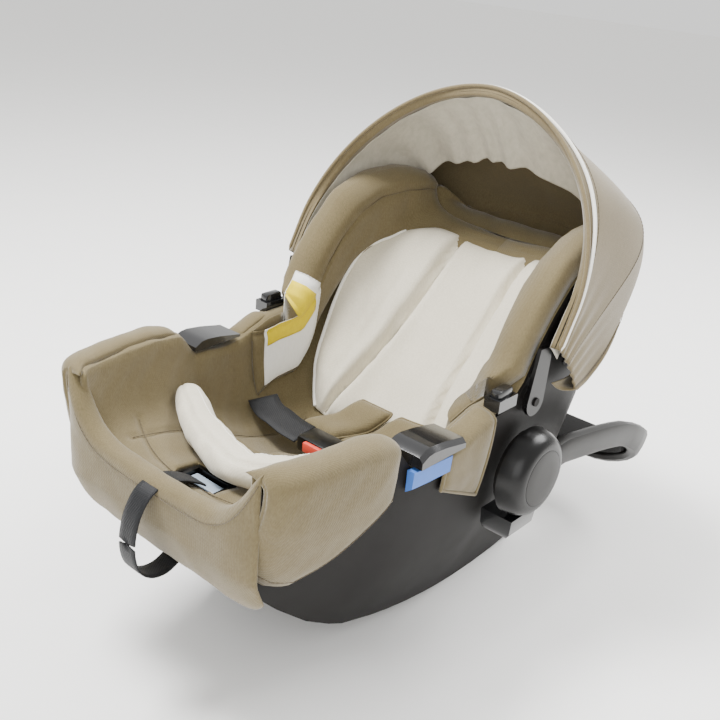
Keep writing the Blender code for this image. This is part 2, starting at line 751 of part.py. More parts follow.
def build_handle():
    axis = (0.0, HUB_Y, HUB_Z)

    def bar_width(share):
        return BAR_WIDTH + (GRIP_WIDTH - BAR_WIDTH) * max(0.0, (share - 0.7) / 0.3)

    lofted("handle_frame", bar_rings(bar_width, BAR_THICKNESS, 0.0), "handle_plastic", axis)
    inward = BAR_THICKNESS / 2 + GAP + GRIP_INSERT / 2
    lofted("handle_grip", bar_rings(lambda share: GRIP_WIDTH - 8.0, GRIP_INSERT, inward, first=10),
           "grip_plastic", axis)
    for word, side in SIDES:
        build_hub(word, side, axis)


def build_hub(word, side, axis):
    """One hub: its base on the shell, pivot bolt, lock gear and spring, and the cap that turns."""
    centre = (HUB_Y, HUB_Z)
    base_face = HUB_INSIDE + 11.5
    cavity = GEAR_RADIUS + 3.5
    turned("hub_base_" + word, ((HUB_INSIDE, PIVOT_RADIUS + GAP), (HUB_INSIDE, 46), (HUB_INSIDE + 6, 46),
                                (HUB_INSIDE + 6, 36), (base_face, 36), (base_face, cavity),
                                (HUB_INSIDE + 2.5, cavity), (HUB_INSIDE + 2.5, PIVOT_RADIUS + GAP)),
           centre, "shell_plastic", side, closed_ring=True)
    rest = base_face - GEAR_THICKNESS / 2
    turned_gear("lock_gear_" + word, rest, side)
    spring(word, side, HUB_INSIDE + 2.5 + GAP, rest - GAP)
    cap_room = rest + GEAR_THICKNESS + 0.8
    cap_inside = base_face + 0.8
    wall = 3.0
    cap = turned("hub_cap_" + word, (
        (cap_inside, PIVOT_RADIUS + GAP), (cap_room, PIVOT_RADIUS + GAP), (cap_room, cavity), (cap_inside, cavity),
        (cap_inside, 33.0), (cap_inside, HUB_RADIUS - wall), (HUB_INSIDE + 7, HUB_RADIUS - wall),
        (HUB_INSIDE + 7, HUB_RADIUS), (CAP_FACE - 14, HUB_RADIUS - 2), (CAP_FACE - 5, HUB_RADIUS - 6),
        (CAP_FACE - 1.5, HUB_RADIUS - 11), (CAP_FACE, HUB_RADIUS - 16), (CAP_FACE, 34.0), (CAP_FACE - 2.5, 34.0),
        (CAP_FACE - 2.5, 12.0), (CAP_FACE - 5.5, 12.0), (CAP_FACE - 5.5, PIVOT_RADIUS + GAP),
    )[1:], centre, "satin_plastic", side, closed_ring=True, axis=axis)
    arm_notch(cap, word, side)
    turned("pivot_bolt_" + word, ((HUB_INSIDE + 0.4, PIVOT_RADIUS), (CAP_FACE - 5.2, PIVOT_RADIUS),
                                  (CAP_FACE - 5.2, 10.5), (CAP_FACE - 3.0, 10.5)),
           centre, "steel", side, 24)
    turned("hub_disc_" + word, ((CAP_FACE - 2.2, 33.6), (CAP_FACE + 0.2, 33.6), (CAP_FACE + 0.9, 30), (CAP_FACE + 1.4, 16)),
           centre, "handle_plastic", side, axis=axis)


def arm_notch(cap, word, side):
    """Cuts the way in for the handle's arm through the cap's skirt."""
    near, far = handle_point(30.0 / HANDLE_REACH), handle_point(82.0 / HANDLE_REACH)
    ahead = (far - near) / np.linalg.norm(far - near)
    lift = np.array([-ahead[1], ahead[0]])
    half = BAR_WIDTH / 2 + 2.5
    rings = []
    for along in (near, far):
        ring = []
        for a, x in ((-1, ARM_X - BAR_THICKNESS / 2 - 0.6), (1, ARM_X - BAR_THICKNESS / 2 - 0.6),
                     (1, ARM_X + BAR_THICKNESS / 2 + 0.6), (-1, ARM_X + BAR_THICKNESS / 2 + 0.6)):
            at = along + lift * a * half
            ring.append((side * x, at[0], at[1]))
        rings.append(ring)
    cut(cap, lofted("arm_notch_" + word, rings, "foam"))


def turned_gear(name, start, side):
    """The sliding lock gear: a toothed disc with a bore for the pivot bolt."""
    count = GEAR_TEETH * 6
    angles = np.linspace(0, 2 * math.pi, count, endpoint=False)
    radius = np.where((np.arange(count) // 3) % 2 == 0, GEAR_RADIUS, GEAR_RADIUS - 4)
    bore = np.full(count, PIVOT_RADIUS + GAP)
    rings = []
    for x, reach in ((start, bore), (start, radius), (start + GEAR_THICKNESS, radius), (start + GEAR_THICKNESS, bore)):
        rings.append(np.stack([np.full(count, side * x), HUB_Y + reach * np.cos(angles),
                               HUB_Z + reach * np.sin(angles)], 1))
    numbers = np.arange(4 * count).reshape(4, count)
    faces = []
    for row in range(4):
        first, second = numbers[row], numbers[(row + 1) % 4]
        faces += strip(list(first) + [first[0]], list(second) + [second[0]])
    solid(name, np.concatenate(rings), faces, "steel", (0.0, HUB_Y, HUB_Z))


def spring(word, side, start, end, turns=2.0, wire=0.9, radius=13.0, pitch=5.0):
    """The conical spring that pushes the lock gear outwards; its turns lie flat inside each other."""
    steps = int(turns * 20)
    rings = []
    for index in range(steps + 1):
        angle = 2 * math.pi * turns * index / steps
        along = start + wire + (end - start - 2 * wire) * index / steps
        out = np.array([0.0, math.cos(angle), math.sin(angle)])
        centre = np.array([side * along, HUB_Y, HUB_Z]) + out * (radius + pitch * turns * index / steps)
        rings.append([centre + out * wire * math.cos(t) + np.array([wire * math.sin(t), 0, 0])
                      for t in np.linspace(0, 2 * math.pi, 6, endpoint=False)])
    lofted("lock_spring_" + word, rings, "steel")


# ---- canopy --------------------------------------------------------------------------------------------
def evenly(points, count):
    """Points at even lengths along a polyline."""
    points = np.asarray(points, float)
    length = np.concatenate([[0], np.cumsum(np.linalg.norm(np.diff(points, axis=0), axis=1))])
    wanted = np.linspace(0, length[-1], count)
    return np.stack([np.interp(wanted, length, points[:, axis]) for axis in range(3)], 1)


def hoop_half(count):
    """Front hoop from its left end to the mid-plane: a straight foot, then a superellipse's quarter."""
    turn = np.linspace(0, 0.5 * math.pi, 60)
    x = HOOP_HALF_WIDTH * np.cos(turn) ** (2 / HOOP_POWER)
    z = HOOP_MIDDLE + (HOOP_TOP - HOOP_MIDDLE) * np.sin(turn) ** (2 / HOOP_POWER)
    x = np.append(HOOP_HALF_WIDTH, x)
    z = np.append(HOOP_LOW, z)
    return evenly(np.stack([x, HOOP_Y + HOOP_LEAN * (z - 300), z], 1), count)


def canopy_grid(start, end, steps, inset=0.0, count=11):
    """The canopy between two shares of its length: 0 at the front hoop, 1 at the rear edge.

    Each line from the hoop to the edge is a cubic with its own pull at both ends, and the
    shoulders stand out in a smooth bulge. The grid runs from the left side to the right.
    """
    hoop, edge = hoop_half(count), evenly(CANOPY_EDGE, count)
    share = np.linspace(0, 1, count)[:, None]
    reach = np.linalg.norm(edge - hoop, axis=1)[:, None]
    leave = np.array([0.1, 0.95, 0.0]) * (1 - share) + np.array([0, 0.95, -0.1]) * share
    arrive = np.array([-0.4, 0.3, 0.9]) * (1 - share) + np.array([0, 0.35, 0.94]) * share
    bulge = SHOULDER_BULGE * np.exp(-((share - 0.51) / 0.25) ** 2) * np.array([0.45, 0.85, 0.0])
    u = np.linspace(start, end, steps)[:, None, None]
    half = (hoop * (1 - u) ** 3 + 3 * (hoop + leave * 0.02 * reach) * u * (1 - u) ** 2
            + 3 * (edge + arrive * 0.19 * reach) * u ** 2 * (1 - u) + edge * u ** 3
            + bulge * np.sin(math.pi * u))
    half[:, -1, 0] = 0.0
    if inset:
        along = np.gradient(half, axis=0)
        across = np.gradient(half, axis=1)
        normal = np.cross(across, along)
        normal /= np.linalg.norm(normal, axis=2)[..., None]
        normal[:, -1, 0] = 0.0
        half = half + normal * inset
    return np.concatenate([half, mirrored(half[:, -2::-1])], axis=1)


def canopy_sheet(name, start, end, steps, inset, thickness, finish, axis):
    outer = canopy_grid(start, end, steps, inset)
    inner = canopy_grid(start, end, steps, inset + thickness)
    return sheet_solid(name, outer, inner, finish, axis)


def build_canopy():
    axis = (0.0, CANOPY_Y, CANOPY_Z)
    canopy_sheet("canopy_front_panel", 0.0, 0.499, 6, 0.0, CANOPY_THICKNESS, "canopy_fabric", axis)
    canopy_sheet("canopy_rear_panel", 0.501, 1.0, 6, 0.0, CANOPY_THICKNESS, "canopy_fabric", axis)
    under = CANOPY_THICKNESS + 1.5
    canopy_sheet("canopy_front_bow", 0.02, 0.02 + BOW_WIDTH, 2, under, BOW_THICKNESS, "satin_plastic", axis)
    canopy_sheet("canopy_middle_bow", 0.5 - BOW_WIDTH / 2, 0.5 + BOW_WIDTH / 2, 2, under, BOW_THICKNESS,
                 "satin_plastic", axis)
    for word, side in SIDES:
        build_canopy_hinge(word, side, axis)


def build_canopy_hinge(word, side, axis):
    """The clip on the shell's side and the flat arm that turns on it and carries the front hoop."""
    inside = SEAT_HALF_WIDTH + GAP
    turned("canopy_mount_" + word, ((inside, 15.0), (inside + 3.5, 15.0), (inside + 3.5, 5.0), (inside + 10.3, 5.0)),
           (CANOPY_Y, CANOPY_Z), "shell_plastic", side, 24)
    low = inside + 3.5 + GAP
    high = low + 4.5
    foot = hoop_half(2)[0]
    reach = math.hypot(foot[1] - CANOPY_Y, foot[2] - CANOPY_Z) - 2.0
    outline = [(-17 * math.cos(t), -17 * math.sin(t)) for t in np.linspace(0, math.pi, 11)]
    outline += [(12, reach), (-12, reach)]
    turn = math.atan2(foot[2] - CANOPY_Z, foot[1] - CANOPY_Y) - 0.5 * math.pi
    placed = [(CANOPY_Y + a * math.cos(turn) - b * math.sin(turn), CANOPY_Z + a * math.sin(turn) + b * math.cos(turn))
              for a, b in outline]
    rings = [[(side * x, y, z) for y, z in placed] for x in (low, high)]
    arm = lofted("canopy_arm_" + word, rings, "satin_plastic", axis)
    bore = turned("arm_bore_" + word, ((low - 5, 5.0 + GAP), (high + 5, 5.0 + GAP)), (CANOPY_Y, CANOPY_Z), "foam",
                  side, 24)
    cut(arm, bore)


# ---- belt guides, release buttons and underside fittings ---------------------------------------------------
GUIDE_FRONT = -258.0
GUIDE_REAR = -172.0


def build_belt_guide(word, side):
    """The hook that the vehicle's lap belt passes under, with its coloured marker strip."""
    top = 297.0
    outside = SEAT_HALF_WIDTH + 8.0
    rings = []
    for y, drop in ((GUIDE_FRONT + 14, 6), (GUIDE_FRONT + 24, 1), (-225, 0), (-205, 2), (GUIDE_REAR, 8)):
        wall = seat_width(y) + LINING_THICKNESS + 1.5
        under = rim_height(GUIDE_FRONT + 14) + LINING_RISE + 0.8
        low = rim_height(GUIDE_FRONT + 14) + 1.5
        ring = [(wall, low), (outside, low), (outside, top - drop - 5), (outside - 5, top - drop),
                (wall - 16, top - drop), (wall - 16, under), (wall, under)]
        rings.append([(side * x, y, z) for x, z in ring])
    lofted("belt_guide_" + word, rings, "gloss_plastic")
    rings = []
    for y in (GUIDE_FRONT + 10, -225.0, FLAP_FRONT - 2.0):
        inner = side_x(y, 262.0) + 1.5
        ring = [(inner, 250), (inner + 8, 256), (inner + 9, 275), (inner, 275)]
        rings.append([(side * x, y, z) for x, z in ring])
    lofted("belt_marker_" + word, rings, "guide_blue")


BUTTON_Y = -94.5
BUTTON_TRAVEL = 5.0
BUTTON_WIDTH = 20.0
BUTTON_LENGTH = 34.0


def build_release_button(word, side):
    """The handle's release button: a frame on the rim and the push button that sinks into it."""
    middle = seat_width(BUTTON_Y) + LINING_THICKNESS + 1.5 + BUTTON_WIDTH / 2
    base = rim_height(BUTTON_Y + BUTTON_LENGTH / 2) + 2.5
    reach = np.array([BUTTON_WIDTH / 2, BUTTON_LENGTH / 2])
    frame = block("button_frame_" + word, (side * middle - reach[0], BUTTON_Y - reach[1], base),
                  (side * middle + reach[0], BUTTON_Y + reach[1], base + 14), "gloss_plastic")
    reach -= 3.0
    pocket = block("button_pocket_" + word, (side * middle - reach[0], BUTTON_Y - reach[1], base + 2),
                   (side * middle + reach[0], BUTTON_Y + reach[1], base + 30), "foam")
    cut(frame, pocket)
    low = base + 2 + BUTTON_TRAVEL + GAP
    reach -= GAP + 0.1
    block("release_button_" + word, (side * middle - reach[0], BUTTON_Y - reach[1], low),
          (side * middle + reach[0], BUTTON_Y + reach[1], base + 23), "satin_plastic", 3.5,
          axis=(side * middle, BUTTON_Y, low))


def build_adapter_lug(word, side):
    """The lug under the hub that drops into a pushchair's adapter."""
    top = HUB_Z - HUB_RADIUS - 2.0
    low = top - 30.0
    rings = []
    for z, trim in ((top, 0.0), (low + 10, 2.0), (low, 9.0)):
        inner = max(side_x(y, top) for y in (HUB_Y - 26, HUB_Y, HUB_Y + 26)) + 1.0
        ring = [(inner, HUB_Y - 26 + trim, z), (HUB_INSIDE + 20 - trim, HUB_Y - 26 + trim, z),
                (HUB_INSIDE + 20 - trim, HUB_Y + 26 - trim, z), (inner, HUB_Y + 26 - trim, z)]
        rings.append([(side * x, y, zz) for x, y, zz in ring])
    lofted("adapter_lug_" + word, rings, "gloss_plastic")


def build_latch_bars():
    """Steel bars across the underside channel that a vehicle base's latches hold."""
    for name, y in (("latch_bar_front", -150.0), ("latch_bar_rear", 88.0)):
        reach = foot_half_width(y) - FOOT_WIDTH - 7.0 - 3.0
        z = foot_height(y) + 11.0
        angles = np.linspace(0, 2 * math.pi, 16, endpoint=False)
        rings = [[(x, y + 4.5 * math.cos(t), z + 4.5 * math.sin(t)) for t in angles] for x in (-reach, reach)]
        lofted(name, rings, "steel")


def build_release_lever():
    """The lever at the back that frees the carrier from its base, in its housing."""
    y = 224.0
    z = 236.0
    housing = block("lever_housing", (-52, y, z - 22), (52, y + 12, z + 22), "satin_plastic")
    pocket = block("lever_pocket", (-46, y + 2, z - 17), (46, y + 20, z + 17), "foam")
    cut(housing, pocket)
    block("release_lever", (-45, y + 3, z - 14), (45, y + 9.5, z + 15), "gloss_plastic", 2.0,
          axis=(0, y + 6, z + 12))


def place():
    """Moves everything so that the origin is under the middle of the footprint."""
    for piece in bpy.data.objects:
        if piece.parent is None:
            piece.location.y -= CENTRE_Y * MM


def main():
    clear_scene()
    build_shell()
    build_lining()
    build_back_foam()
    build_cover()
    build_insert()
    build_harness()
    build_pull_strap(build_adjuster())
    build_handle()
    build_canopy()
    for word, side in SIDES:
        build_belt_guide(word, side)
        build_release_button(word, side)
        build_adapter_lug(word, side)
    build_latch_bars()
    build_release_lever()
    place()


main()
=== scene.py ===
# %% [markdown]
# # Infant carrier seat
# The hard parts come from the imported CAD model and keep their places; this file gives them their
# moulded finishes and remakes everything sewn or woven: the padded cover, the newborn insert, the
# harness pads, the webbing and the folding canopy. Lengths in the tables are millimetres in the
# seat's own frame (X to the child's left, Y to the head end, Z up); `metres` moves them to the
# model's frame. First the frame is loaded.

# %% Load the imported model
import bmesh
import bpy
import math
import numpy as np
from mathutils import Matrix, Vector


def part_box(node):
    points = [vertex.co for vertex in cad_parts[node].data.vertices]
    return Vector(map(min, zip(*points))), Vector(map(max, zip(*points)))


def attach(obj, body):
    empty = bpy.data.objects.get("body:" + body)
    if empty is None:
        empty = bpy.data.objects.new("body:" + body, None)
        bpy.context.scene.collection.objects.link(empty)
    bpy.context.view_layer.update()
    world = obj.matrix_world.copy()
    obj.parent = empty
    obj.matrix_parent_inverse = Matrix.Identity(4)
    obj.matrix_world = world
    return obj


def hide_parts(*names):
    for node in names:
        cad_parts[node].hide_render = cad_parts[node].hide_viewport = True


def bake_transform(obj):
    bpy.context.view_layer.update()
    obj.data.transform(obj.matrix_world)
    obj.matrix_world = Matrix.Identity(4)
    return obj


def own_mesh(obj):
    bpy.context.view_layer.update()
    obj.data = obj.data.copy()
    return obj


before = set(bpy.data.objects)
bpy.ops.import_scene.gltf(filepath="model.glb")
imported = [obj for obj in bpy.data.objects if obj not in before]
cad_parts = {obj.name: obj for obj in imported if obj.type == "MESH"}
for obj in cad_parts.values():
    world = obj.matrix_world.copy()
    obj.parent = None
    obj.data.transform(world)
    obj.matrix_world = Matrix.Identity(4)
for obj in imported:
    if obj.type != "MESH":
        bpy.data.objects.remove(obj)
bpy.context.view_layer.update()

# %% [markdown]
# ## Camera and light
# The seat was seen from in front, its left side nearer, from a bit above the canopy. A camera is a
# matrix of its own axes and place, so those four vectors are written straight into it. The light is
# a bright white room: a pale world, a soft key from above on the left, a weak fill from the right
# and a lamp from behind.

# %% Camera
SHIFT = 56.8
camera = bpy.data.objects.new("camera", bpy.data.cameras.new("camera"))
camera.data.lens = 49.25
camera.data.sensor_width = 36.0
right, upward, back = (0.7442, 0.6631, 0.0805), (-0.3262, 0.2555, 0.9101), (0.5829, -0.7036, 0.4064)
place = (0.668, -0.92696 + SHIFT / 1000, 0.75913)
camera.matrix_world = Matrix([[right[i], upward[i], back[i], place[i]] for i in range(3)] + [[0, 0, 0, 1]])
bpy.context.collection.objects.link(camera)
bpy.context.scene.camera = camera
print("camera at", [round(v, 3) for v in camera.matrix_world.translation])


# %% Light and floor
def lamp(name, energy, size, at, towards=(0.0, 0.0, 0.25)):
    """An area lamp at a point, turned so that its -Z axis looks towards another point."""
    made = bpy.data.objects.new(name, bpy.data.lights.new(name, "AREA"))
    made.data.energy = energy
    made.data.size = size
    turned = (Vector(towards) - Vector(at)).to_track_quat("-Z", "Y").to_matrix().to_4x4()
    made.matrix_world = Matrix.Translation(at) @ turned
    bpy.context.collection.objects.link(made)
    return made


world = bpy.data.worlds.new("white_room")
bpy.context.scene.world = world
world.use_nodes = True
world.node_tree.nodes["Background"].inputs[0].default_value = (1.0, 1.0, 0.985, 1.0)
world.node_tree.nodes["Background"].inputs[1].default_value = 1.15
lamp("key", 120.0, 0.8, (-0.8, -0.5, 2.3))
lamp("fill", 18.0, 1.4, (1.1, -1.6, 1.1))
lamp("back", 70.0, 1.2, (0.6, 1.6, 1.9))


# %% [markdown]
# ## Colour and node helpers
# Colours are written as sRGB hex, as a colour picker gives them; a shader needs them linear, so one
# function turns them. One small function adds a node with its settings and its links.

# %% Helpers for materials
def linear(code):
    """sRGB hex to linear RGBA: v / 12.92 for small values, ((v + 0.055) / 1.055) ^ 2.4 for the rest."""
    value = np.array([int(code[i:i + 2], 16) for i in (1, 3, 5)]) / 255
    value = np.where(value <= 0.04045, value / 12.92, ((value + 0.055) / 1.055) ** 2.4)
    return (*value.tolist(), 1.0)


def add(material, kind, settings=(), links=()):
    """Adds one shader node; settings are socket or property values, links are its sources by socket."""
    node = material.node_tree.nodes.new("ShaderNode" + kind)
    for name, value in dict(settings).items():
        if isinstance(name, int) or name in node.inputs:
            node.inputs[name].default_value = value
        else:
            setattr(node, name, value)
    for name, source in dict(links).items():
        material.node_tree.links.new(source, node.inputs[name])
    return node


def finish_named(name, **sockets):
    """A material with one Principled shader whose own sockets hold everything that is the same all over."""
    material = bpy.data.materials.new(name)
    material.use_nodes = True
    shader = material.node_tree.nodes["Principled BSDF"]
    for socket, value in sockets.items():
        shader.inputs[socket].default_value = value
    return material, shader


# %% [markdown]
# ## Moulded plastics
# The shell is polypropylene moulded against a spark-eroded tool: a dull dark charcoal with a fine
# pebble that scatters light. The handle and caps are ABS or nylon with a smoother tool; belt guides
# and button frames were polished. Each is one base colour, broken up by a faint noise, with a bump
# whose grain is drawn at 1 to 2 mm, coarser than the real 0.3 mm, because that would not show.

# %% Plastics
def moulded(name, colour, worn, rough, grain_mm, depth_mm, coat=0.0, glint=0.4):
    """Plastic whose colour drifts towards a worn one in broad clouds and whose skin has a fine pebble."""
    material, shader = finish_named(name, IOR=1.5)
    shader.inputs["Coat Weight"].default_value = coat
    shader.inputs["Specular IOR Level"].default_value = glint
    shader.inputs["Coat Roughness"].default_value = 0.08
    where = add(material, "TexCoord")
    cloud = add(material, "TexNoise", {"Scale": 1000 / 60, "Detail": 4.0},
                {"Vector": where.outputs["Object"]})
    tint = add(material, "MixRGB", {"Color1": linear(colour), "Color2": linear(worn)},
               {"Fac": cloud.outputs["Fac"]})
    pebble = add(material, "TexNoise", {"Scale": 1000 / grain_mm, "Detail": 2.0},
                 {"Vector": where.outputs["Object"]})
    gloss = add(material, "MapRange", {"To Min": rough - 0.05, "To Max": rough + 0.07},
                {"Value": cloud.outputs["Fac"]})
    bump = add(material, "Bump", {"Strength": 0.5, "Distance": depth_mm / 1000},
               {"Height": pebble.outputs["Fac"]})
    links = material.node_tree.links
    links.new(tint.outputs["Color"], shader.inputs["Base Color"])
    links.new(gloss.outputs["Result"], shader.inputs["Roughness"])
    links.new(bump.outputs["Normal"], shader.inputs["Normal"])
    return material


shell_polypropylene = moulded("polypropylene_moulded_matte", "#0d0b0a", "#14110f", 0.55, 1.4, 0.2, glint=0.16)
handle_nylon = moulded("nylon_moulded_satin", "#100f0e", "#181614", 0.36, 1.4, 0.08, glint=0.3)
cap_abs = moulded("abs_moulded_satin_black", "#080808", "#0d0c0c", 0.28, 1.4, 0.05, glint=0.3)
guide_abs = moulded("abs_polished_black", "#151516", "#1c1c1e", 0.14, 4.0, 0.02, 0.6)
grip_rubber = moulded("thermoplastic_rubber_textured", "#1f1e1e", "#2a2928", 0.62, 2.2, 0.9)
marker_blue = moulded("polypropylene_blue_moulded", "#3a66b4", "#4a75c0", 0.42, 1.6, 0.1)
lever_grey = moulded("polypropylene_bluegrey_moulded", "#8795a3", "#97a3af", 0.4, 1.6, 0.1)
button_red = moulded("acetal_red_moulded", "#d23a2c", "#dc4a3a", 0.28, 4.0, 0.03, 0.4)
bead_foam = moulded("polystyrene_bead_foam", "#e6e5e0", "#f2f1ec", 0.75, 4.5, 0.6)
print("plastics", len(bpy.data.materials))


# %% [markdown]
# The pivot bolts, lock gears and latch bars are steel with a zinc plating: a metal, so its colour is
# its reflection, dulled by fine brushing along one direction.

# %% Plated steel
zinc_steel, shader = finish_named("steel_zinc_plated", Metallic=1.0)
shader.inputs["Base Color"].default_value = linear("#b9bcc0")
where = add(zinc_steel, "TexCoord")
stretch = add(zinc_steel, "Mapping", {"Scale": (60.0, 900.0, 900.0)}, {"Vector": where.outputs["Object"]})
brushed = add(zinc_steel, "TexNoise", {"Scale": 1.0, "Detail": 3.0}, {"Vector": stretch.outputs["Vector"]})
rough = add(zinc_steel, "MapRange", {"To Min": 0.22, "To Max": 0.42}, {"Value": brushed.outputs["Fac"]})
zinc_steel.node_tree.links.new(rough.outputs["Result"], shader.inputs["Roughness"])
print("metal", zinc_steel.name)


# %% [markdown]
# ## Cloths
# The cover is a melange jersey: yarns of two beige shades knitted together over wadding. Close up
# that is a speckle of short streaks and a small raised stitch. The real stitch is about 1 mm; it is
# drawn at 2.2 mm so that it shows. The canopy is a lighter plain weave, the insert a brushed cream
# jersey, and the webbing a tight twill of black polyester with ribs every 2 mm.

# %% Cloth materials
def cloth(name, light, dark, stitch_mm, streak_mm, contrast, depth_mm, rough=0.85, sheen=0.25):
    """Speckled cloth: streak noise picks between two yarn shades, two crossed waves raise the stitches."""
    material, shader = finish_named(name, Roughness=rough)
    shader.inputs["Sheen Weight"].default_value = sheen
    shader.inputs["Sheen Roughness"].default_value = 0.5
    shader.inputs["Specular IOR Level"].default_value = 0.25
    where = add(material, "TexCoord")
    stretch = add(material, "Mapping", {"Scale": (1000 / streak_mm, 1000 / streak_mm, 350 / streak_mm),
                                        "Rotation": (0.5, 0.3, 0.2)}, {"Vector": where.outputs["Object"]})
    streak = add(material, "TexNoise", {"Scale": 1.0, "Detail": 3.0, "Roughness": 0.65},
                 {"Vector": stretch.outputs["Vector"]})
    cloud = add(material, "TexNoise", {"Scale": 1000 / 90, "Detail": 3.0},
                {"Vector": where.outputs["Object"]})
    both = add(material, "Math", {"operation": "MULTIPLY_ADD", 1: 0.35, 2: -0.17})
    material.node_tree.links.new(cloud.outputs["Fac"], both.inputs[0])
    total = add(material, "Math", {"operation": "ADD"})
    material.node_tree.links.new(streak.outputs["Fac"], total.inputs[0])
    material.node_tree.links.new(both.outputs[0], total.inputs[1])
    spread = add(material, "MapRange", {"From Min": 0.5 - contrast, "From Max": 0.5 + contrast},
                 {"Value": total.outputs[0]})
    tint = add(material, "MixRGB", {"Color1": linear(dark), "Color2": linear(light)},
               {"Fac": spread.outputs["Result"]})
    waves = []
    for turn in ((0.0, 0.0, 0.785), (0.785, 0.0, -0.785)):
        turned = add(material, "Mapping", {"Rotation": turn}, {"Vector": where.outputs["Object"]})
        waves.append(add(material, "TexWave", {"Scale": 1000 / stitch_mm / 6.2832 * 2, "Distortion": 1.2,
                                               "Detail": 1.0}, {"Vector": turned.outputs["Vector"]}))
    crossed = add(material, "Math", {"operation": "MAXIMUM"})
    material.node_tree.links.new(waves[0].outputs["Fac"], crossed.inputs[0])
    material.node_tree.links.new(waves[1].outputs["Fac"], crossed.inputs[1])
    bump = add(material, "Bump", {"Strength": 0.6, "Distance": depth_mm / 1000},
               {"Height": crossed.outputs[0]})
    material.node_tree.links.new(tint.outputs["Color"], shader.inputs["Base Color"])
    material.node_tree.links.new(bump.outputs["Normal"], shader.inputs["Normal"])
    return material


cover_melange = cloth("polyester_jersey_melange_beige", "#736749", "#574c31", 2.0, 1.5, 0.34, 0.3)
canopy_weave = cloth("polyester_plain_weave_sand", "#786b4e", "#5e5238", 1.8, 1.4, 0.36, 0.2)
insert_jersey = cloth("cotton_jersey_brushed_cream", "#d6cfbd", "#bfb7a2", 2.2, 2.4, 0.4, 0.25, 0.9, 0.3)
piping_cream = cloth("cotton_piping_white", "#f3f1ea", "#e2ded2", 1.6, 2.5, 0.3, 0.2)
insert_thread = cloth("polyester_sewing_thread_taupe", "#a79d86", "#8d836c", 1.2, 2.0, 0.3, 0.1, 0.6)
seam_thread = cloth("polyester_sewing_thread", "#54472e", "#433822", 1.2, 2.0, 0.3, 0.1, 0.6)
webbing_twill = cloth("polyester_webbing_black", "#16171a", "#0b0b0d", 2.0, 1.6, 0.3, 0.4, 0.55, 0.05)
lining_satin = cloth("polyester_satin_ivory", "#c2bcae", "#a5a091", 2.4, 7.0, 0.35, 0.15, 0.34, 0.2)
patch_white = cloth("woven_patch_white", "#f1f0ec", "#e6e5e0", 1.6, 3.0, 0.3, 0.1, 0.6, 0.1)
patch_yellow = cloth("woven_patch_yellow", "#dcc400", "#ccb400", 1.6, 3.0, 0.3, 0.1, 0.6, 0.1)
print("cloths", len(bpy.data.materials))

# %% [markdown]
# ## Finishing the hard parts
# The hard nodes have the right shape already. Their triangles are loose, so a small geometry-nodes
# tree welds them when the model is drawn, shades them smooth and leaves edges over 32 degrees sharp.

# %% Weld and smooth
WELD_DISTANCE = 0.00002
SHARP_EDGE_DEGREES = 32
weld_smooth = bpy.data.node_groups.new("weld_and_smooth", "GeometryNodeTree")
weld_smooth.interface.new_socket("Geometry", in_out="INPUT", socket_type="NodeSocketGeometry")
weld_smooth.interface.new_socket("Geometry", in_out="OUTPUT", socket_type="NodeSocketGeometry")
start = weld_smooth.nodes.new("NodeGroupInput")
merge = weld_smooth.nodes.new("GeometryNodeMergeByDistance")
merge.inputs["Distance"].default_value = WELD_DISTANCE
angle = weld_smooth.nodes.new("GeometryNodeInputMeshEdgeAngle")
small = weld_smooth.nodes.new("FunctionNodeCompare")
small.operation = "LESS_THAN"
small.inputs[1].default_value = math.radians(SHARP_EDGE_DEGREES)
faces = weld_smooth.nodes.new("GeometryNodeSetShadeSmooth")
edges = weld_smooth.nodes.new("GeometryNodeSetShadeSmooth")
edges.domain = "EDGE"
finish = weld_smooth.nodes.new("NodeGroupOutput")
for source, target in ((start.outputs[0], merge.inputs[0]), (merge.outputs[0], faces.inputs[0]),
                       (faces.outputs[0], edges.inputs[0]), (angle.outputs[0], small.inputs[0]),
                       (small.outputs[0], edges.inputs["Shade Smooth"]),
                       (edges.outputs[0], finish.inputs[0])):
    weld_smooth.links.new(source, target)

hard_finishes = {
    shell_polypropylene: ("shell", "hub_base", "canopy_mount"),
    handle_nylon: ("handle_frame", "hub_disc"),
    cap_abs: ("buckle_body", "adjuster_housing", "hub_cap", "canopy_front_bow", "canopy_middle_bow",
              "canopy_arm", "lever_housing"),
    guide_abs: ("belt_guide", "button_frame", "adapter_lug", "release_lever", "release_button"),
    grip_rubber: ("handle_grip",),
    marker_blue: ("belt_marker",),
    lever_grey: ("adjuster_lever",),
    button_red: ("buckle_button",),
    zinc_steel: ("pivot_bolt", "lock_gear", "lock_spring", "latch_bar_front", "latch_bar_rear"),
    bead_foam: ("foam_liner",),
}
for material, names in hard_finishes.items():
    for name in names:
        for word in ("", "_left", "_right"):
            node = bpy.data.objects.get(name + word)
            if node is None or node.type != "MESH":
                continue
            node.data.materials.clear()
            node.data.materials.append(material)
            node.modifiers.new("weld_and_smooth", "NODES").node_group = weld_smooth
print("hard nodes finished:", sum(len(names) for names in hard_finishes.values()), "names")

# %% [markdown]
# ## Lock springs
# Inside each hub a coil spring pushes the lock gear out. Pressing the button slides the gear in, so
# the spring is flattened towards the face it stands on. Here each spring's box is read and the spring
# gets its own copy of its mesh, out of sight inside the cap; its shape is not changed.

# %% Lock springs
for side, word in ((1, "left"), (-1, "right")):
    low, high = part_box("lock_spring_" + word)
    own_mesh(bpy.data.objects["lock_spring_" + word])

# %% [markdown]
# ## Grids to meshes
# Every sewn piece below is a surface worked out as arrays. `grid_faces` numbers the quads of a grid,
# `build` puts arrays in a mesh, `normals_of` takes the cross product of a grid's two directions.

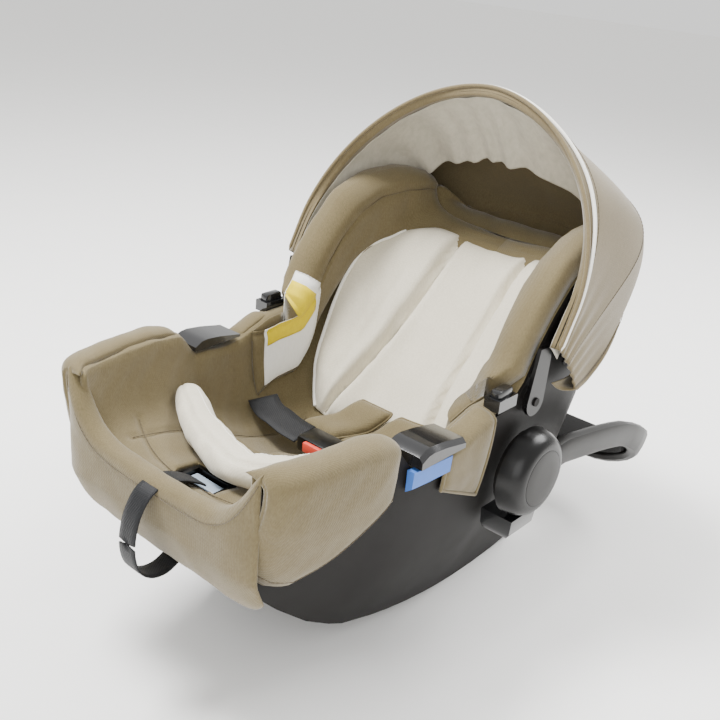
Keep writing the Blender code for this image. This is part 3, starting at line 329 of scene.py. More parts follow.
# %% Mesh helpers
def metres(points):
    """Millimetres in the seat's frame to metres in the model's frame."""
    return (np.asarray(points, float) + (0.0, SHIFT, 0.0)) / 1000


def grid_faces(rows, columns, wrap=False):
    """Quads of a rows by columns grid, numbered row by row; wrap joins the last column to the first."""
    index = np.arange(rows * columns).reshape(rows, columns)
    if wrap:
        index = np.hstack([index, index[:, :1]])
    return np.stack([index[:-1, :-1], index[1:, :-1], index[1:, 1:], index[:-1, 1:]], -1).reshape(-1, 4)


def build(name, points, faces, material, body="carrier", merge_mm=0.0, solid_mm=0.0, offset=-1.0):
    """One smooth mesh object from arrays, riding on a body; Solidify gives a sheet its thickness."""
    mesh = bpy.data.meshes.new(name)
    mesh.from_pydata(metres(points).tolist(), [], faces.tolist())
    piece = bpy.data.objects.new(name, mesh)
    bpy.context.collection.objects.link(piece)
    work = bmesh.new()
    work.from_mesh(mesh)
    if merge_mm:
        bmesh.ops.remove_doubles(work, verts=work.verts, dist=merge_mm / 1000)
        bmesh.ops.recalc_face_normals(work, faces=work.faces)
    work.to_mesh(mesh)
    work.free()
    mesh.shade_smooth()
    mesh.materials.append(material)
    if solid_mm:
        thick = piece.modifiers.new("thickness", "SOLIDIFY")
        thick.thickness = solid_mm / 1000
        thick.offset = offset
    if body:
        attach(piece, body)
    return piece


def normals_of(grid):
    """Unit normals of a grid: across x along, from central differences."""
    cross = np.cross(np.gradient(grid, axis=1), np.gradient(grid, axis=0))
    return cross / np.maximum(np.linalg.norm(cross, axis=2, keepdims=True), 1e-9)


def ripples(points):
    """Soft wrinkles: products of sines of 60 to 180 mm length whose phases bend one another."""
    x, y, z = points[..., 0], points[..., 1], points[..., 2]
    broad = np.sin(x / 19 + 1.7 * np.sin(y / 31) + z / 23) * np.sin(y / 27 + 1.3 * np.sin(x / 17) - z / 29)
    fine = np.sin(x / 9 + 2.0 * np.sin(z / 13) + y / 11) * np.sin(y / 8 - z / 12 + 1.5 * np.sin(x / 15))
    return broad + 0.45 * fine


def pad(name, low, high, material, body="carrier", wrinkle=0.9):
    """A closed cushion between two grids that share their borders; its top is softly wrinkled."""
    rows, columns = low.shape[:2]
    gap = np.linalg.norm(high - low, axis=2, keepdims=True)
    high = (high + (high - low) / np.maximum(gap, 1e-6) * np.clip(gap / 6, 0, 1) * wrinkle
            * ripples(high)[..., None])
    faces = grid_faces(rows, columns)
    points = np.concatenate([high.reshape(-1, 3), low.reshape(-1, 3)])
    piece = build(name, points, np.vstack([faces, faces[:, ::-1] + rows * columns]), material, body, 0.05)
    return piece


def ease(values, table, column=1):
    """A smooth curve through a table: cubic Hermite pieces with slopes from the neighbours."""
    table = np.array(table, float)
    at, level = table[:, 0], table[:, column]
    slope = np.gradient(level, at)
    index = np.clip(np.searchsorted(at, values) - 1, 0, len(at) - 2)
    span = at[index + 1] - at[index]
    t = np.clip((values - at[index]) / span, 0, 1)
    return ((2 * t ** 3 - 3 * t ** 2 + 1) * level[index] + (t ** 3 - 2 * t ** 2 + t) * span * slope[index]
            + (3 * t ** 2 - 2 * t ** 3) * level[index + 1] + (t ** 3 - t ** 2) * span * slope[index + 1])


def along_path(points, count):
    """A smooth path through a few points, read at even shares of its length."""
    points = np.array(points, float)
    length = np.concatenate([[0], np.cumsum(np.linalg.norm(np.diff(points, axis=0), axis=1))])
    wanted = np.linspace(0, length[-1], count)
    return np.stack([ease(wanted, np.column_stack([length, points[:, i]])) for i in range(3)], 1)


def tube(name, path, radius, material, body="carrier", around=8):
    """A closed tube: a circle of the given radius carried along the path, its ends drawn in."""
    path = np.asarray(path, float)
    ahead = np.gradient(path, axis=0)
    ahead /= np.linalg.norm(ahead, axis=1, keepdims=True)
    side = np.cross(ahead, (0.13, 0.21, 0.97))
    side /= np.linalg.norm(side, axis=1, keepdims=True)
    top = np.cross(side, ahead)
    turn = np.linspace(0, 2 * np.pi, around, endpoint=False)
    radius = np.broadcast_to(np.asarray(radius, float), (len(path),)).copy()
    radius[[0, -1]] *= 0.05
    ring = side[:, None] * np.cos(turn)[None, :, None] + top[:, None] * np.sin(turn)[None, :, None]
    points = path[:, None] + ring * radius[:, None, None]
    return build(name, points.reshape(-1, 3), grid_faces(len(path), around, True), material, body)


def stitches(name, path, material, step_mm=5.0, thread_mm=0.55, body="carrier"):
    """A row of stitches: a thin tube whose radius rises and falls once a stitch."""
    path = np.asarray(path, float)
    length = np.concatenate([[0], np.cumsum(np.linalg.norm(np.diff(path, axis=0), axis=1))])
    fine = np.linspace(0, length[-1], int(length[-1] / step_mm * 6) + 2)
    points = np.stack([np.interp(fine, length, path[:, i]) for i in range(3)], 1)
    radius = thread_mm * (0.25 + 0.75 * np.sqrt(np.abs(np.sin(np.pi * fine / step_mm))))
    return tube(name, points, radius, material, body, 6)


def channel(points, lines, depth, width):
    """How far each point sinks near any of the seam lines: depth * exp(-(distance / width)^2)."""
    sink = np.zeros(points.shape[:-1])
    for line in lines:
        line = np.asarray(line, float)
        gap = np.linalg.norm(points[..., None, :] - line, axis=-1).min(axis=-1)
        sink = np.maximum(sink, depth * np.exp(-(gap / width) ** 2))
    return sink


print("helpers ready")

# %% [markdown]
# ## The seat's measured shape
# These tables hold the carrier's rim, floor and underside as heights along Y. The trough between the
# side walls is a superellipse: (|x| / width)^3.2 + (depth share)^3.2 = 1.

# %% Shape tables
SHELL_HALF_WIDTH = 184.0
PADDING = 26.0
TROUGH_POWER = 3.2
RIM = ((-412, 0.80, 304), (-402, 0.85, 306), (-380, 0.88, 306), (-345, 0.91, 306), (-300, 0.935, 306),
       (-262, 0.955, 300), (-240, 0.965, 272), (-190, 0.975, 268), (-160, 0.98, 272), (-120, 0.99, 286),
       (-80, 0.995, 290), (-58, 1.0, 312), (-38, 1.0, 348), (-15, 1.0, 378), (15, 1.0, 408),
       (60, 0.99, 426), (110, 0.955, 430), (150, 0.89, 428), (182, 0.81, 420), (208, 0.70, 397),
       (226, 0.56, 372))
FLOOR = ((-407, 231), (-360, 227), (-300, 214), (-240, 190), (-190, 168), (-140, 158), (-95, 164),
         (-76, 174), (-50, 190), (-10, 222), (35, 262), (80, 304), (120, 346), (155, 378), (176, 396),
         (190, 402), (208, 399), (226, 376))
UNDERSIDE = ((-412, 205), (-400, 176), (-380, 151), (-345, 116), (-300, 77), (-262, 49), (-200, 28),
             (-150, 15), (-100, 7), (-50, 2), (0, 0), (100, 7))


def rim_height(y):
    return np.interp(y, [row[0] for row in RIM], [row[2] for row in RIM])


def half_width(y):
    return SHELL_HALF_WIDTH * np.interp(y, [row[0] for row in RIM], [row[1] for row in RIM])


def wall_x(y, z):
    """Outside of the shell: the foot's half width plus a share that falls off as (depth share)^1.8."""
    top, low = rim_height(y), ease(y, UNDERSIDE)
    foot = np.minimum(106.0, 0.82 * half_width(y))
    return foot + (half_width(y) - foot) * (1 - np.clip((top - z) / (top - low), 0, 1) ** 1.8)


def seat_z(x, y):
    """Top of the padded seat between its walls."""
    top, floor = rim_height(y) + 8.0, ease(y, FLOOR)
    share = np.clip(np.abs(x) / (half_width(y) - PADDING), 0, 1)
    return top - (top - floor) * (1 - share ** TROUGH_POWER) ** (1 / TROUGH_POWER)


def on_seat(x, y, lift=0.0):
    """Points on the seat, lifted along its normal, which central differences give."""
    x, y = np.broadcast_arrays(np.asarray(x, float), np.asarray(y, float))
    slope_x = (seat_z(x + 2, y) - seat_z(x - 2, y)) / 4
    slope_y = (seat_z(x, y + 2) - seat_z(x, y - 2)) / 4
    normal = np.stack([-slope_x, -slope_y, np.ones_like(slope_x)], -1)
    normal /= np.linalg.norm(normal, axis=-1, keepdims=True)
    return np.stack([x, y, seat_z(x, y)], -1) + normal * np.asarray(lift, float)[..., None]


print("seat depth at the child's hips", round(float(seat_z(0.0, -140.0)), 1), "mm above the floor")

# %% [markdown]
# ## Seat cover
# On the real seat a quilted melange cover lines the trough and folds over the rim. It is one sheet:
# the trough's superellipse read at even angles, then a rolled edge out to the shell's wall. Seams
# are sewn channels, so the surface sinks near them.

# %% Seat cover
def seat_cover():
    """Trough x = w cos(t)^(2/3.2), depth by sin(t)^(2/3.2); a quarter roll continues it over the rim."""
    y = np.linspace(-407, 222, 158)[:, None]
    t = np.linspace(0, np.pi, 101)[None, :]
    width, top = half_width(y) - PADDING, rim_height(y) + 8.0
    floor = np.minimum(ease(y, FLOOR), top - 0.5)
    x = width * np.sign(np.cos(t)) * np.abs(np.cos(t)) ** (2 / TROUGH_POWER)
    z = top - (top - floor) * np.abs(np.sin(t)) ** (2 / TROUGH_POWER)
    trough = np.stack([x, y + 0 * t, z], -1)
    roll = np.linspace(1, 0.08, 9)[None, :]
    flat = np.clip(1 - np.abs(y + 205) / 45, 0, 1) ** 0.5
    roll_x = width + (half_width(y) - 2.0 - width) * roll
    roll_z = top + 3.5 * np.sin(np.pi * roll) * (1 - flat) - (5.5 + 2.0 * flat) * roll ** 2
    left = np.stack([roll_x, y + 0 * roll, roll_z], -1)
    rightward = left[:, ::-1] * (-1, 1, 1)
    return np.concatenate([left, trough, rightward], axis=1)


cover_grid = seat_cover()
across = np.linspace(-1, 1, 60)
seams = [
    on_seat(across * 118, -372 + 26 * across ** 2, 0.0),
    on_seat(across * 118, -232 + 0 * across, 0.0),
    on_seat(98 + 0 * across, -235 + 135 * across, 0.0), on_seat(-98 + 0 * across, -235 + 135 * across, 0.0),
    on_seat(105 * np.sin(across * 1.5), 30 + 128 * np.cos(across * 1.5), 0.0),
]
sink = channel(cover_grid, seams, 3.2, 4.5)
upward = np.sign(normals_of(cover_grid)[75, 59, 2])
cover_grid = cover_grid - normals_of(cover_grid) * (sink - 1.1 * ripples(cover_grid))[..., None] * upward
rows, columns = cover_grid.shape[:2]
quads = grid_faces(rows, columns)
middle = cover_grid.reshape(-1, 3)[quads].mean(axis=1)
opening = ((middle[:, 0] / 33) ** 4 + ((middle[:, 1] + 352) / 20) ** 4 > 1) & ~(
    (np.abs(middle[:, 0]) < 22) & (np.abs(middle[:, 1] + 172) < 6))
seat_sheet = build("seat_cover_quilted", cover_grid.reshape(-1, 3), quads[opening], cover_melange,
                   solid_mm=6.0)
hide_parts("seat_lining")
for number, line in enumerate(seams):
    stitches(f"seat_cover_stitching_{number}", line + (0, 0, -1.2), seam_thread)
print("seat cover quads", int(opening.sum()))

# %% [markdown]
# ## Outer cover: wings, flaps and toe
# The cover is pulled over the shell's foot end and padded there. Each outer panel is a cushion: a
# middle surface on the shell and a thickness t = T sqrt((1 - u^4)(1 - v^4)) that closes at its hem.

# %% Outer panels
def side_cushion(name, y_line, top_of, hem_of, side, thickness, roll, node, lift=9.0):
    """Wraps from inside the rim, over it and down the wall to a hem, on one side of the carrier."""
    u = np.sin(np.linspace(-np.pi / 2, np.pi / 2, 49))[:, None]
    v = np.linspace(0, 1, 45)[None, :]
    y = y_line[0] + (y_line[1] - y_line[0]) * (u + 1) / 2
    wall = np.clip((v - roll) / (1 - roll), 0, 1)
    over = np.clip(v / max(roll, 1e-6), 0, 1) if roll else np.ones_like(v)
    z = top_of(y) + (hem_of(y) - top_of(y)) * wall
    x = wall_x(y, z) + 1.5 - (24.0 * (1 - np.sin(over * np.pi / 2)) if roll else 0.0)
    z = z + lift * np.clip((y + 176) / 20, 0, 1) ** (y_line[0] > -200) * np.cos(over * np.pi / 2)
    low = np.stack([side * x, y + 0 * v, z], -1)
    out = normals_of(low)
    out = out * np.sign(out[24, 40, 0] * side)
    swell = thickness * np.sqrt(np.clip((1 - u ** 6) * (1 - (2 * v - 1) ** 6), 0, 1))
    high = low + out * swell[..., None]
    piece = pad(name, low, high, cover_melange)
    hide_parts(node)
    return low, high


def wing_hem(y):
    return np.interp(y, (-410, -385, -364, -326, -289, -262), (206, 180, 172, 196, 228, 250))


for word, side in (("left", 1), ("right", -1)):
    low, high = side_cushion("cover_wing_padded_" + word, (-414, -264), rim_height, wing_hem, side,
                             13.0, 0.22, "cover_wing_" + word)
    tube("cover_wing_hem_" + word, low[2:-2, -1] + (side * 2.0, 0, 0), 2.6, cover_melange)
    stitches("cover_wing_stitching_" + word, high[3:-3, 40] + (side * 0.2, 0, 0), seam_thread)
    low, high = side_cushion("cover_flap_soft_" + word, (-190, -113), rim_height,
                             lambda y: np.interp(y, (-188, -112), (229, 190)), side, 6.5, 0.2,
                             "cover_flap_" + word)
    edge = np.concatenate([low[0, :-1], low[:, -1], low[-1, -2::-1]])
    tube("cover_flap_binding_" + word, edge + (side * 2.5, 0, 0), 2.2, cover_melange)

# %% [markdown]
# ## Toe panel
# The front of the foot end is one padded band. Its middle surface goes over the edge, straight down
# and then under to a hem, so three shares of one parameter give the three parts of the path.

# %% Toe panel
def toe_panel():
    """Over the toe's front edge, straight down it, then under it to a hem, as one padded band."""
    u = np.sin(np.linspace(-np.pi / 2, np.pi / 2, 61))[None, :]
    v = np.linspace(0, 1, 41)[:, None]
    x = 145.0 * u
    top = 228.0 + 76.0 * np.abs(u) ** 5 + 12.0
    over = np.clip(v / 0.2, 0, 1)
    down = np.clip((v - 0.2) / 0.55, 0, 1)
    under = np.clip((v - 0.75) / 0.25, 0, 1)
    y = -398.0 - 15.0 * np.sin(over * np.pi / 2) + 40.0 * under * (1 - 0.75 * np.abs(u) ** 4)
    z = top + 4.0 * np.cos(over * np.pi / 2) - (top - 203.0) * down
    z = np.where(under > 0, ease(y + 2.0, UNDERSIDE) - 2.5, z)
    low = np.stack([x + 0 * v, y, z], -1)
    out = normals_of(low)
    out = out * -np.sign(out[20, 30, 1])
    swell = 10.0 * np.sqrt(np.clip((1 - u ** 8) * (1 - (2 * v - 1) ** 8), 0, 1))
    return low, low + out * swell[..., None]


low, high = toe_panel()
piece = pad("cover_toe_padded", low, high, cover_melange)
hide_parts("cover_front")
stitches("cover_toe_stitching", high[9, 2:-2] + (0, -0.3, 0), seam_thread)
print("toe panel columns", low.shape[1])


# %% [markdown]
# ## Head wings
# Beside the child's head the cover is stuffed into two long rolls that sit on the rim and hang down
# inside it. Across the roll the middle line goes over the rim and then follows the seat's wall.

# %% Head wings
def head_wing(word, side):
    """Rows along Y; each row climbs from outside the rim over it and down the inner wall."""
    u = np.sin(np.linspace(-np.pi / 2, np.pi / 2, 65))[:, None]
    v = np.linspace(0, 1, 49)[None, :]
    y = 10.0 + 158.0 * u
    inner = half_width(y) - PADDING
    outer = inner - 2.0 + 26.0 * np.clip((y + 92) / 34, 0, 1)
    drop = 84.0 * np.clip(v / 0.42 - 1, 0, None) / (1 / 0.42 - 1)
    over = np.clip(v / 0.42, 0, 1)
    top = rim_height(y) + 9.5
    z = top - drop
    depth = np.clip(drop / (top - ease(y, FLOOR)), 0, 1)
    x_wall = inner * np.clip(1 - depth ** TROUGH_POWER, 0, 1) ** (1 / TROUGH_POWER) - 1.0
    x = outer + (x_wall - outer) * over
    low = np.stack([side * x, y + 0 * v, z + 0 * u], -1)
    out = normals_of(low)
    out = out * np.sign(out[30, 10, 2])
    swell = np.sqrt(np.clip((1 - u ** 6) * (1 - (2 * v - 1) ** 6), 0, 1)) * (26.0 - 8.0 * v)
    high = low + out * swell[..., None]
    rail = [high[:, 22] + (0, 0, -0.5)]
    high = high - out * channel(high, rail, 2.6, 4.0)[..., None]
    piece = pad("head_wing_stuffed_" + word, low, high, cover_melange)
    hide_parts("head_wing_" + word)
    stitches("head_wing_stitching_" + word, high[3:-3, 22], seam_thread)
    return high, out


wing_surface = {}
for word, side in (("left", 1), ("right", -1)):
    wing_surface[word] = head_wing(word, side)
print("head wings made")

# %% [markdown]
# ## Newborn insert
# A cream cushion of three lobes lies against the backrest and a V-shaped roll has slipped down to
# the legs. The cushion's thickness is one crown with two deep channels between the lobes.

# %% Insert back
v = np.sin(np.linspace(-np.pi / 2, np.pi / 2, 65))[:, None]
u = np.sin(np.linspace(-np.pi / 2, np.pi / 2, 85))[None, :]
y = 33.0 + 117.0 * v
half = ease((v + 1) / 2, list(zip(np.linspace(0, 1, 8), (98, 134, 150, 154, 153, 146, 132, 96))))
x = half * u
low = on_seat(x, y + 0 * u, 2.0 + 13.0 * np.clip((np.abs(x) - 95) / 45, 0, 1))
seam_x = 60.0 - 14.0 * v + 8.0 * v ** 2
lobes = np.exp(-((np.abs(x) - seam_x) / 5.5) ** 2)
swell = 32.0 * np.sqrt(np.clip((1 - u ** 6) * (1 - v ** 6), 0, 1)) * (1 - 0.72 * lobes)
swell = swell * (1 - 0.28 * np.exp(-(x / 46.0) ** 4))
swell = swell * (1 + 0.12 * np.cos(np.clip((np.abs(x) - 92) / 40, -1.5, 1.5) * 2))
high = on_seat(x, y + 0 * u, 2.0 + 13.0 * np.clip((np.abs(x) - 95) / 45, 0, 1) + swell)
insert_back = pad("newborn_insert_back", low, high, insert_jersey, wrinkle=1.6)
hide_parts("insert_back")
for word, side in (("left", 1), ("right", -1)):
    nearest = np.abs(x - side * seam_x).argmin(axis=1)
    sewn = np.take_along_axis(high, nearest[:, None, None], axis=1)[4:-4, 0]
    stitches("newborn_insert_stitching_" + word, sewn + (0, -0.4, 0.4), insert_thread, 6.0, 0.8)
border = np.concatenate([high[1:-1, 0], high[-1, 1:-1], high[-2:0:-1, -1]])
tube("newborn_insert_piping", border + (0, -1.0, 1.5), 2.4, piping_cream)
print("insert back", low.shape[:2])

# %% [markdown]
# ## Leg roll
# The roll is a stuffed tube bent to a V: an ellipse carried along a path over the thighs, rounded off
# at both ends, with one crease along it.

# %% Insert leg roll
route = along_path([(-134, -268, 252), (-104, -282, 243), (-62, -303, 240), (-8, -322, 241), (36, -330, 242),
                    (62, -312, 243), (76, -286, 245), (84, -262, 247)], 110)
ahead = np.gradient(route, axis=0)
ahead /= np.linalg.norm(ahead, axis=1, keepdims=True)
side_way = np.stack([-ahead[:, 1], ahead[:, 0], 0 * ahead[:, 0]], 1)
side_way /= np.linalg.norm(side_way, axis=1, keepdims=True)
share = np.linspace(-1, 1, len(route))
body = np.sqrt(np.clip(1 - np.abs(share) ** 12, 0.0004, 1)) * (0.9 + 0.1 * np.cos(share * 3.0))
turn = np.linspace(0, 2 * np.pi, 36, endpoint=False)
crease = 1 - 0.13 * np.exp(-((np.mod(turn + np.pi / 3, 2 * np.pi) - np.pi) / 0.14) ** 2)
ring = (side_way[:, None] * (np.cos(turn) * crease)[None, :, None] * 23.0
        + np.array([0, 0, 1.0]) * (np.sin(turn) * crease)[None, :, None] * 18.0) * body[:, None, None]
wrinkle = (1 + (0.035 * np.sin(share * 23) * np.cos(share * 9))[:, None, None]
           * np.sin(2 * turn)[None, :, None])
points = route[:, None] + ring * wrinkle
points = points + ring / 20.0 * 1.5 * ripples(points * 1.3)[..., None]
insert_roll = build("newborn_insert_leg_roll", points.reshape(-1, 3), grid_faces(len(route), 36, True),
                    insert_jersey, merge_mm=0.4)
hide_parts("insert_legs")
stitches("newborn_insert_leg_stitching", points[6:-6, 6] + (0, 0, 0.2), piping_cream)
print("leg roll", len(points), "rings")


# %% [markdown]
# ## Harness
# Two shoulder pads and a crotch pad carry a piped edge. Each is a thin cushion on the seat's surface,
# and the shoulder pads slant, as loose ones do.

# %% Harness pads
def flat_pad(name, x_of, y_range, half, lift, thickness, node, rows=41):
    """A small cushion along the seat's length with rounded corners and a piped edge."""
    v = np.sin(np.linspace(-np.pi / 2, np.pi / 2, rows))[:, None]
    u = np.sin(np.linspace(-np.pi / 2, np.pi / 2, 25))[None, :]
    y = (y_range[0] + y_range[1]) / 2 + (y_range[1] - y_range[0]) / 2 * v
    corner = np.clip(1 - np.abs(v) ** 8, 0.0, 1) ** 0.5
    x = x_of(v) + half * (0.8 + 0.2 * corner) * u
    low = on_seat(x, y + 0 * u, lift + 0 * x)
    swell = thickness * np.sqrt(np.clip((1 - u ** 6) * (1 - v ** 6), 0, 1))
    high = on_seat(x, y + 0 * u, lift + swell)
    piece = pad(name, low, high, cover_melange)
    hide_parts(node)
    edge = np.concatenate([high[:, 0], high[-1, 1:], high[-2::-1, -1], high[0, -2:0:-1]])
    tube(name + "_piping", edge + (0, 0, 1.0), 1.7, cover_melange)


for word, middle_x in (("left", 42.0), ("right", -22.0)):
    flat_pad("shoulder_pad_piped_" + word, lambda v, at=middle_x: at + 18.0 * v, (-152, -56), 28.0,
             34.0, 11.0, "shoulder_pad_" + word)
flat_pad("crotch_cover_piped", lambda v: 0.0 * v, (-246, -185), 29.0, 3.0, 13.0, "crotch_pad")
print("harness pads made")

# %% [markdown]
# ## Webbing
# The harness webbing is 38 mm polyester and the pull strap 25 mm. A strap is a flat rounded section
# carried along its path; its width lies along the path's direction crossed with `up`. Where a path
# turns through that direction the two sides swap, and the pull strap pinches there.

# %% Webbing
WEBBING_WIDTH, WEBBING_THICKNESS = 38.0, 1.7
PULL_STRAP_WIDTH, PULL_STRAP_THICKNESS = 25.0, 2.2


def strap(name, path, width, thickness, material, up=(0, 0, 1)):
    """A flat section of twelve corners along the path: side = ahead x up, out = side x ahead."""
    path = np.asarray(path, float)
    ahead = np.gradient(path, axis=0)
    ahead /= np.linalg.norm(ahead, axis=1, keepdims=True)
    side = np.cross(ahead, np.array(up, float))
    side /= np.linalg.norm(side, axis=1, keepdims=True)
    out = np.cross(side, ahead)
    a = np.array([-1, -0.96, -0.5, 0, 0.5, 0.96, 1, 0.96, 0.5, 0, -0.5, -0.96]) * width / 2
    b = np.array([0, -0.9, -1, -1, -1, -0.9, 0, 0.9, 1, 1, 1, 0.9]) * thickness / 2
    points = path[:, None] + side[:, None] * a[None, :, None] + out[:, None] * b[None, :, None]
    faces = grid_faces(len(path), len(a), True)
    last = (len(path) - 1) * len(a)
    caps = np.array([[0, 1, 2, 11], [2, 3, 10, 11], [3, 4, 9, 10], [4, 5, 8, 9], [5, 6, 7, 8]])
    ends = np.vstack([caps[:, ::-1], caps + last])
    return build(name, points.reshape(-1, 3), np.vstack([faces, ends]), material, merge_mm=0.001)


for word, side in (("left", 1), ("right", -1)):
    hip = np.array([on_seat(side * x, y, lift) for x, y, lift in
                    ((138, -150, 12.0), (128, -158, 20.0), (114, -166, 26.0), (92, -172, 32.0),
                     (66, -176, 33.0), (37, -176, 33.0))])
    piece = strap("hip_webbing_" + word, along_path(hip, 30), WEBBING_WIDTH, WEBBING_THICKNESS,
                  webbing_twill, (0, -0.2, 1))
    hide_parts("hip_strap_" + word)
piece = strap("crotch_webbing", [(0, -172, 146), (0, -172, 160), (0, -172.4, 175), (0, -173, 187.7)],
              WEBBING_WIDTH, WEBBING_THICKNESS, webbing_twill, (0, 1, 0))
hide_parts("crotch_strap")
floor = float(seat_z(0.0, -352.0))
route = along_path([(0, -361, floor - 0.5), (0, -372, floor + 7), (0, -392, 243), (0, -412, 246),
                    (0, -428, 241), (0, -441, 224), (0, -448, 202), (0, -449, 178), (0, -442, 157),
                    (0, -427, 145), (0, -409, 143), (0, -395, 149)], 40)
piece = strap("adjuster_webbing", route, PULL_STRAP_WIDTH, PULL_STRAP_THICKNESS, webbing_twill)
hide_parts("adjuster_strap")

# %% [markdown]
# ## Canopy
# The canopy is one sheet from its front hoop, which leans back, to a curved edge round the head end.
# Every line from hoop to edge is a cubic Bezier and a smooth bulge rounds the shoulders. The real
# canopy folds about its hinges; here it is built open and its pieces do not turn.

# %% Canopy surface
EDGE = ((200, 30, 285), (190, 75, 282), (182, 130, 300), (168, 180, 330), (140, 222, 365), (100, 245, 390),
        (50, 256, 400), (0, 260, 402))


def even(points, count):
    """Points at even lengths along a polyline."""
    points = np.asarray(points, float)
    length = np.concatenate([[0], np.cumsum(np.linalg.norm(np.diff(points, axis=0), axis=1))])
    wanted = np.linspace(0, length[-1], count)
    return np.stack([np.interp(wanted, length, points[:, i]) for i in range(3)], 1)


turn = np.linspace(0, np.pi / 2, 200)
hoop_x = np.append(208.0, 208.0 * np.cos(turn) ** (2 / 1.86))
hoop_z = np.append(355.0, 394.0 + 199.0 * np.sin(turn) ** (2 / 1.86))
hoop = even(np.stack([hoop_x, -64.0 + 0.486 * (hoop_z - 300.0), hoop_z], 1), 61)
edge_line = even(along_path(EDGE, 200), 61)
edge_line[-1, 0] = 0.0


def canopy_lines(u, inset=0.0):
    """Bezier H, H + 0.02 D d1, E + 0.19 D d2, E plus the bulge 55 exp(-((s - 0.51) / 0.25)^2) sin(pi u)."""
    share = np.linspace(0, 1, 61)[:, None]
    reach = np.linalg.norm(edge_line - hoop, axis=1)[:, None]
    leave = np.array([0.1, 0.95, 0.0]) * (1 - share) + np.array([0, 0.95, -0.1]) * share
    arrive = np.array([-0.4, 0.3, 0.9]) * (1 - share) + np.array([0, 0.35, 0.94]) * share
    bulge = 55.0 * np.exp(-((share - 0.51) / 0.25) ** 2) * np.array([0.45, 0.85, 0.0])
    u = np.asarray(u, float)[:, None, None]
    half = (hoop * (1 - u) ** 3 + 3 * (hoop + leave * 0.02 * reach) * u * (1 - u) ** 2
            + 3 * (edge_line + arrive * 0.19 * reach) * u ** 2 * (1 - u) + edge_line * u ** 3
            + bulge * np.sin(np.pi * u))
    half[:, -1, 0] = 0.0
    whole = np.concatenate([half, half[:, -2::-1] * (-1, 1, 1)], axis=1)
    out = normals_of(whole)
    out = out * np.sign(out[len(u) // 2, 60, 2])
    return whole - out * np.asarray(inset, float)[..., None], out


u = np.linspace(0, 1, 61)
s = np.concatenate([np.linspace(0, 1, 61), np.linspace(1, 0, 61)[1:]])
sag = 5.0 * np.abs(np.sin(2 * np.pi * u))[:, None] * np.clip(s * 3, 0, 1)[None, :]
pleat = 2.4 * np.sin(u * 46)[:, None] * np.exp(-(s / 0.16) ** 2)[None, :] * np.sin(np.pi * u)[:, None]
outer, _ = canopy_lines(u, np.clip(sag + pleat, -0.5, 9) + 0.2)


def fold_with_canopy(piece):
    """Bakes the piece's transform into its mesh; the piece does not turn."""
    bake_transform(piece)


for word, first, last in (("front", 0.02, 0.06), ("middle", 0.48, 0.52)):
    strip, _ = canopy_lines(np.linspace(first, last, 5), 7.6)
    bow = build(f"canopy_{word}_bow_strip", strip.reshape(-1, 3), grid_faces(5, 121), cap_abs, None,
                solid_mm=3.0, offset=1.0)
    fold_with_canopy(bow)
    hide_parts(f"canopy_{word}_bow")

canopy = build("canopy_cloth", outer.reshape(-1, 3), grid_faces(61, 121), canopy_weave, None,
               solid_mm=1.4)
fold_with_canopy(canopy)
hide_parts("canopy_front_panel", "canopy_rear_panel")

# %% [markdown]
# ## Canopy lining and edges
# A satin lining is gathered under the front of the canopy. It is the canopy's own surface, set
# further in and rippled across. Piping, hems and stitches are tubes along lines of that surface.

# %% Canopy lining and edges
u_in = np.linspace(0.09, 0.46, 56)
deep = np.linspace(0, 1, 56)[:, None]
round_way = np.linspace(0, 1, 121)[None, :]
crown = np.sin(np.pi * round_way)
gather = (0.4 + 2.4 * deep) * (np.sin(round_way * 118 + 2.4 * np.sin(round_way * 23) + deep * 2.0)
                                + 0.7 * np.sin(round_way * 61 + 3.0 * deep))
crinkle = 0.8 * np.sin(deep * 9 + 5 * np.sin(round_way * 21)) * np.cos(round_way * 33)
droop = 30.0 * deep ** 2 * crown
inner, _ = canopy_lines(u_in, 13.0 + (gather + crinkle) * crown ** 0.4 + droop)
lining = build("canopy_lining_satin", inner.reshape(-1, 3), grid_faces(56, 121), lining_satin, None,
               solid_mm=0.8, offset=0.0)
fold_with_canopy(lining)
hem_inset = 1.6 + 10.4 * np.clip(np.linspace(0, 5, 9), 0, 1)[:, None] + 0 * s[None, :]
band, _ = canopy_lines(np.linspace(0.0, 0.1, 9), hem_inset)
band_piece = build("canopy_hem_inside", band.reshape(-1, 3), grid_faces(9, 121), canopy_weave, None,
                   solid_mm=0.8, offset=0.0)
fold_with_canopy(band_piece)
front_edge, _ = canopy_lines([0.0, 0.01], 1.0)
piping_line, _ = canopy_lines([0.055, 0.065], -0.6)
rear_line, _ = canopy_lines([0.99, 1.0], 0.5)
for name, line, radius, material in (("canopy_front_binding", front_edge[0], 2.6, canopy_weave),
                                     ("canopy_piping", piping_line[0], 2.2, piping_cream),
                                     ("canopy_rear_hem", rear_line[1], 2.4, canopy_weave)):
    piece = tube(name, line, radius, material, None)
    fold_with_canopy(piece)
seam_lines, _ = canopy_lines([0.09, 0.5, 0.96], -0.2)
for number, line in enumerate(seam_lines):
    piece = stitches(f"canopy_stitching_{number}", line, seam_thread, body=None)
    fold_with_canopy(piece)
print("canopy lining and edges made")

# %% [markdown]
# Behind the head the canopy's cloth is hooked to the shell, so no light comes through. That part is
# a ruled sheet from the canopy's rear edge to the shell's head end, with soft upright folds.

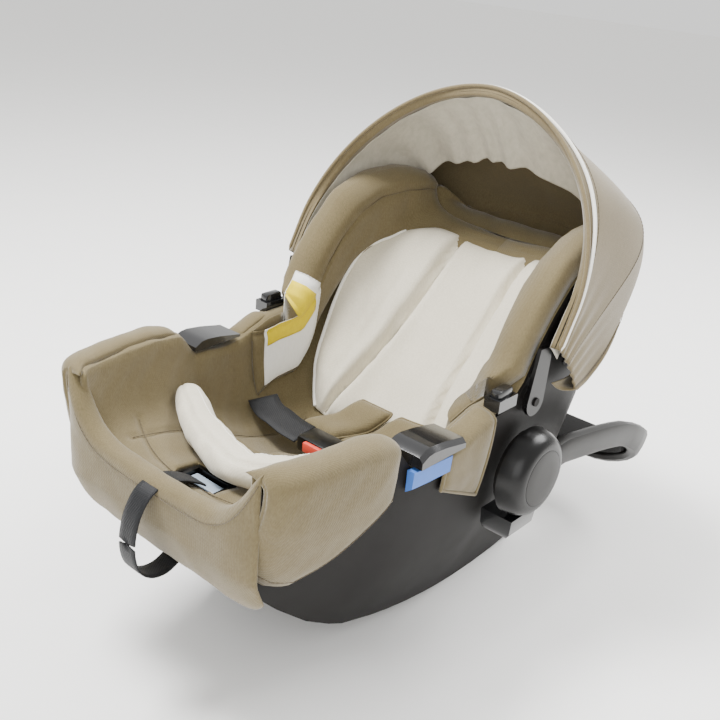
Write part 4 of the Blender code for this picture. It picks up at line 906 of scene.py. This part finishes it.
# %% Rear apron
upper = np.concatenate([edge_line, edge_line[-2::-1] * (-1, 1, 1)])
foot_y = np.clip(upper[:, 1] - 34.0, -10.0, 222.0)
foot_x = np.sign(upper[:, 0]) * np.minimum(np.abs(upper[:, 0]), half_width(foot_y) + 3.0)
lower = np.stack([foot_x, foot_y, np.minimum(rim_height(foot_y) + 2.0, upper[:, 2] + 14.0)], 1)
blend_share = np.linspace(0, 1, 16)[:, None, None]
apron = upper * (1 - blend_share) + lower * blend_share
fold_wave = 1.6 * np.sin(np.linspace(0, 1, len(upper)) * 120)[None, :] * np.sin(np.pi * blend_share[..., 0])
apron = apron + normals_of(apron) * (fold_wave - 6.0 * np.sin(np.pi * blend_share[..., 0]))[..., None]
apron_piece = build("canopy_rear_apron", apron.reshape(-1, 3), grid_faces(16, len(upper)), canopy_weave, None,
                    solid_mm=1.2, offset=0.0)
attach(apron_piece, "carrier")
print("rear apron", apron.shape[:2])

# %% [markdown]
# ## Care patch
# A white woven patch with a yellow band is sewn to the right head wing. It is left blank.

# %% Care patch
high, out = wing_surface["right"]
rows_in = (high[:, 30, 1] > -140) & (high[:, 30, 1] < -46)
white = (high + out * 1.2)[rows_in][:, 18:47]
patch = build("care_patch_blank", white.reshape(-1, 3), grid_faces(*white.shape[:2]), patch_white,
              solid_mm=0.8, offset=0.0)
band = (high + out * 1.9)[rows_in][1:-1, 19:29]
patch_band = build("care_patch_band", band.reshape(-1, 3), grid_faces(*band.shape[:2]), patch_yellow,
                   solid_mm=0.5, offset=0.0)
border = np.concatenate([white[:, 0], white[-1, 1:], white[-2::-1, -1], white[0, -2:0:-1]])
stitches("care_patch_stitching", border + (0.6, 0, 0.6), piping_cream)
print("care patch", white.shape[:2])

# %% [markdown]
# ## Floor
# A plain pale floor takes the seat's shadow.

# %% Floor
floor_paint = moulded("floor_paint_white", "#fbfaf8", "#f7f6f4", 0.7, 30.0, 0.05)
reach = 9000.0
corners = np.array([[-reach, -reach, 0], [reach, -reach, 0], [reach, reach, 0], [-reach, reach, 0]])
ground = build("floor", corners, np.array([[0, 1, 2, 3]]), floor_paint, None)
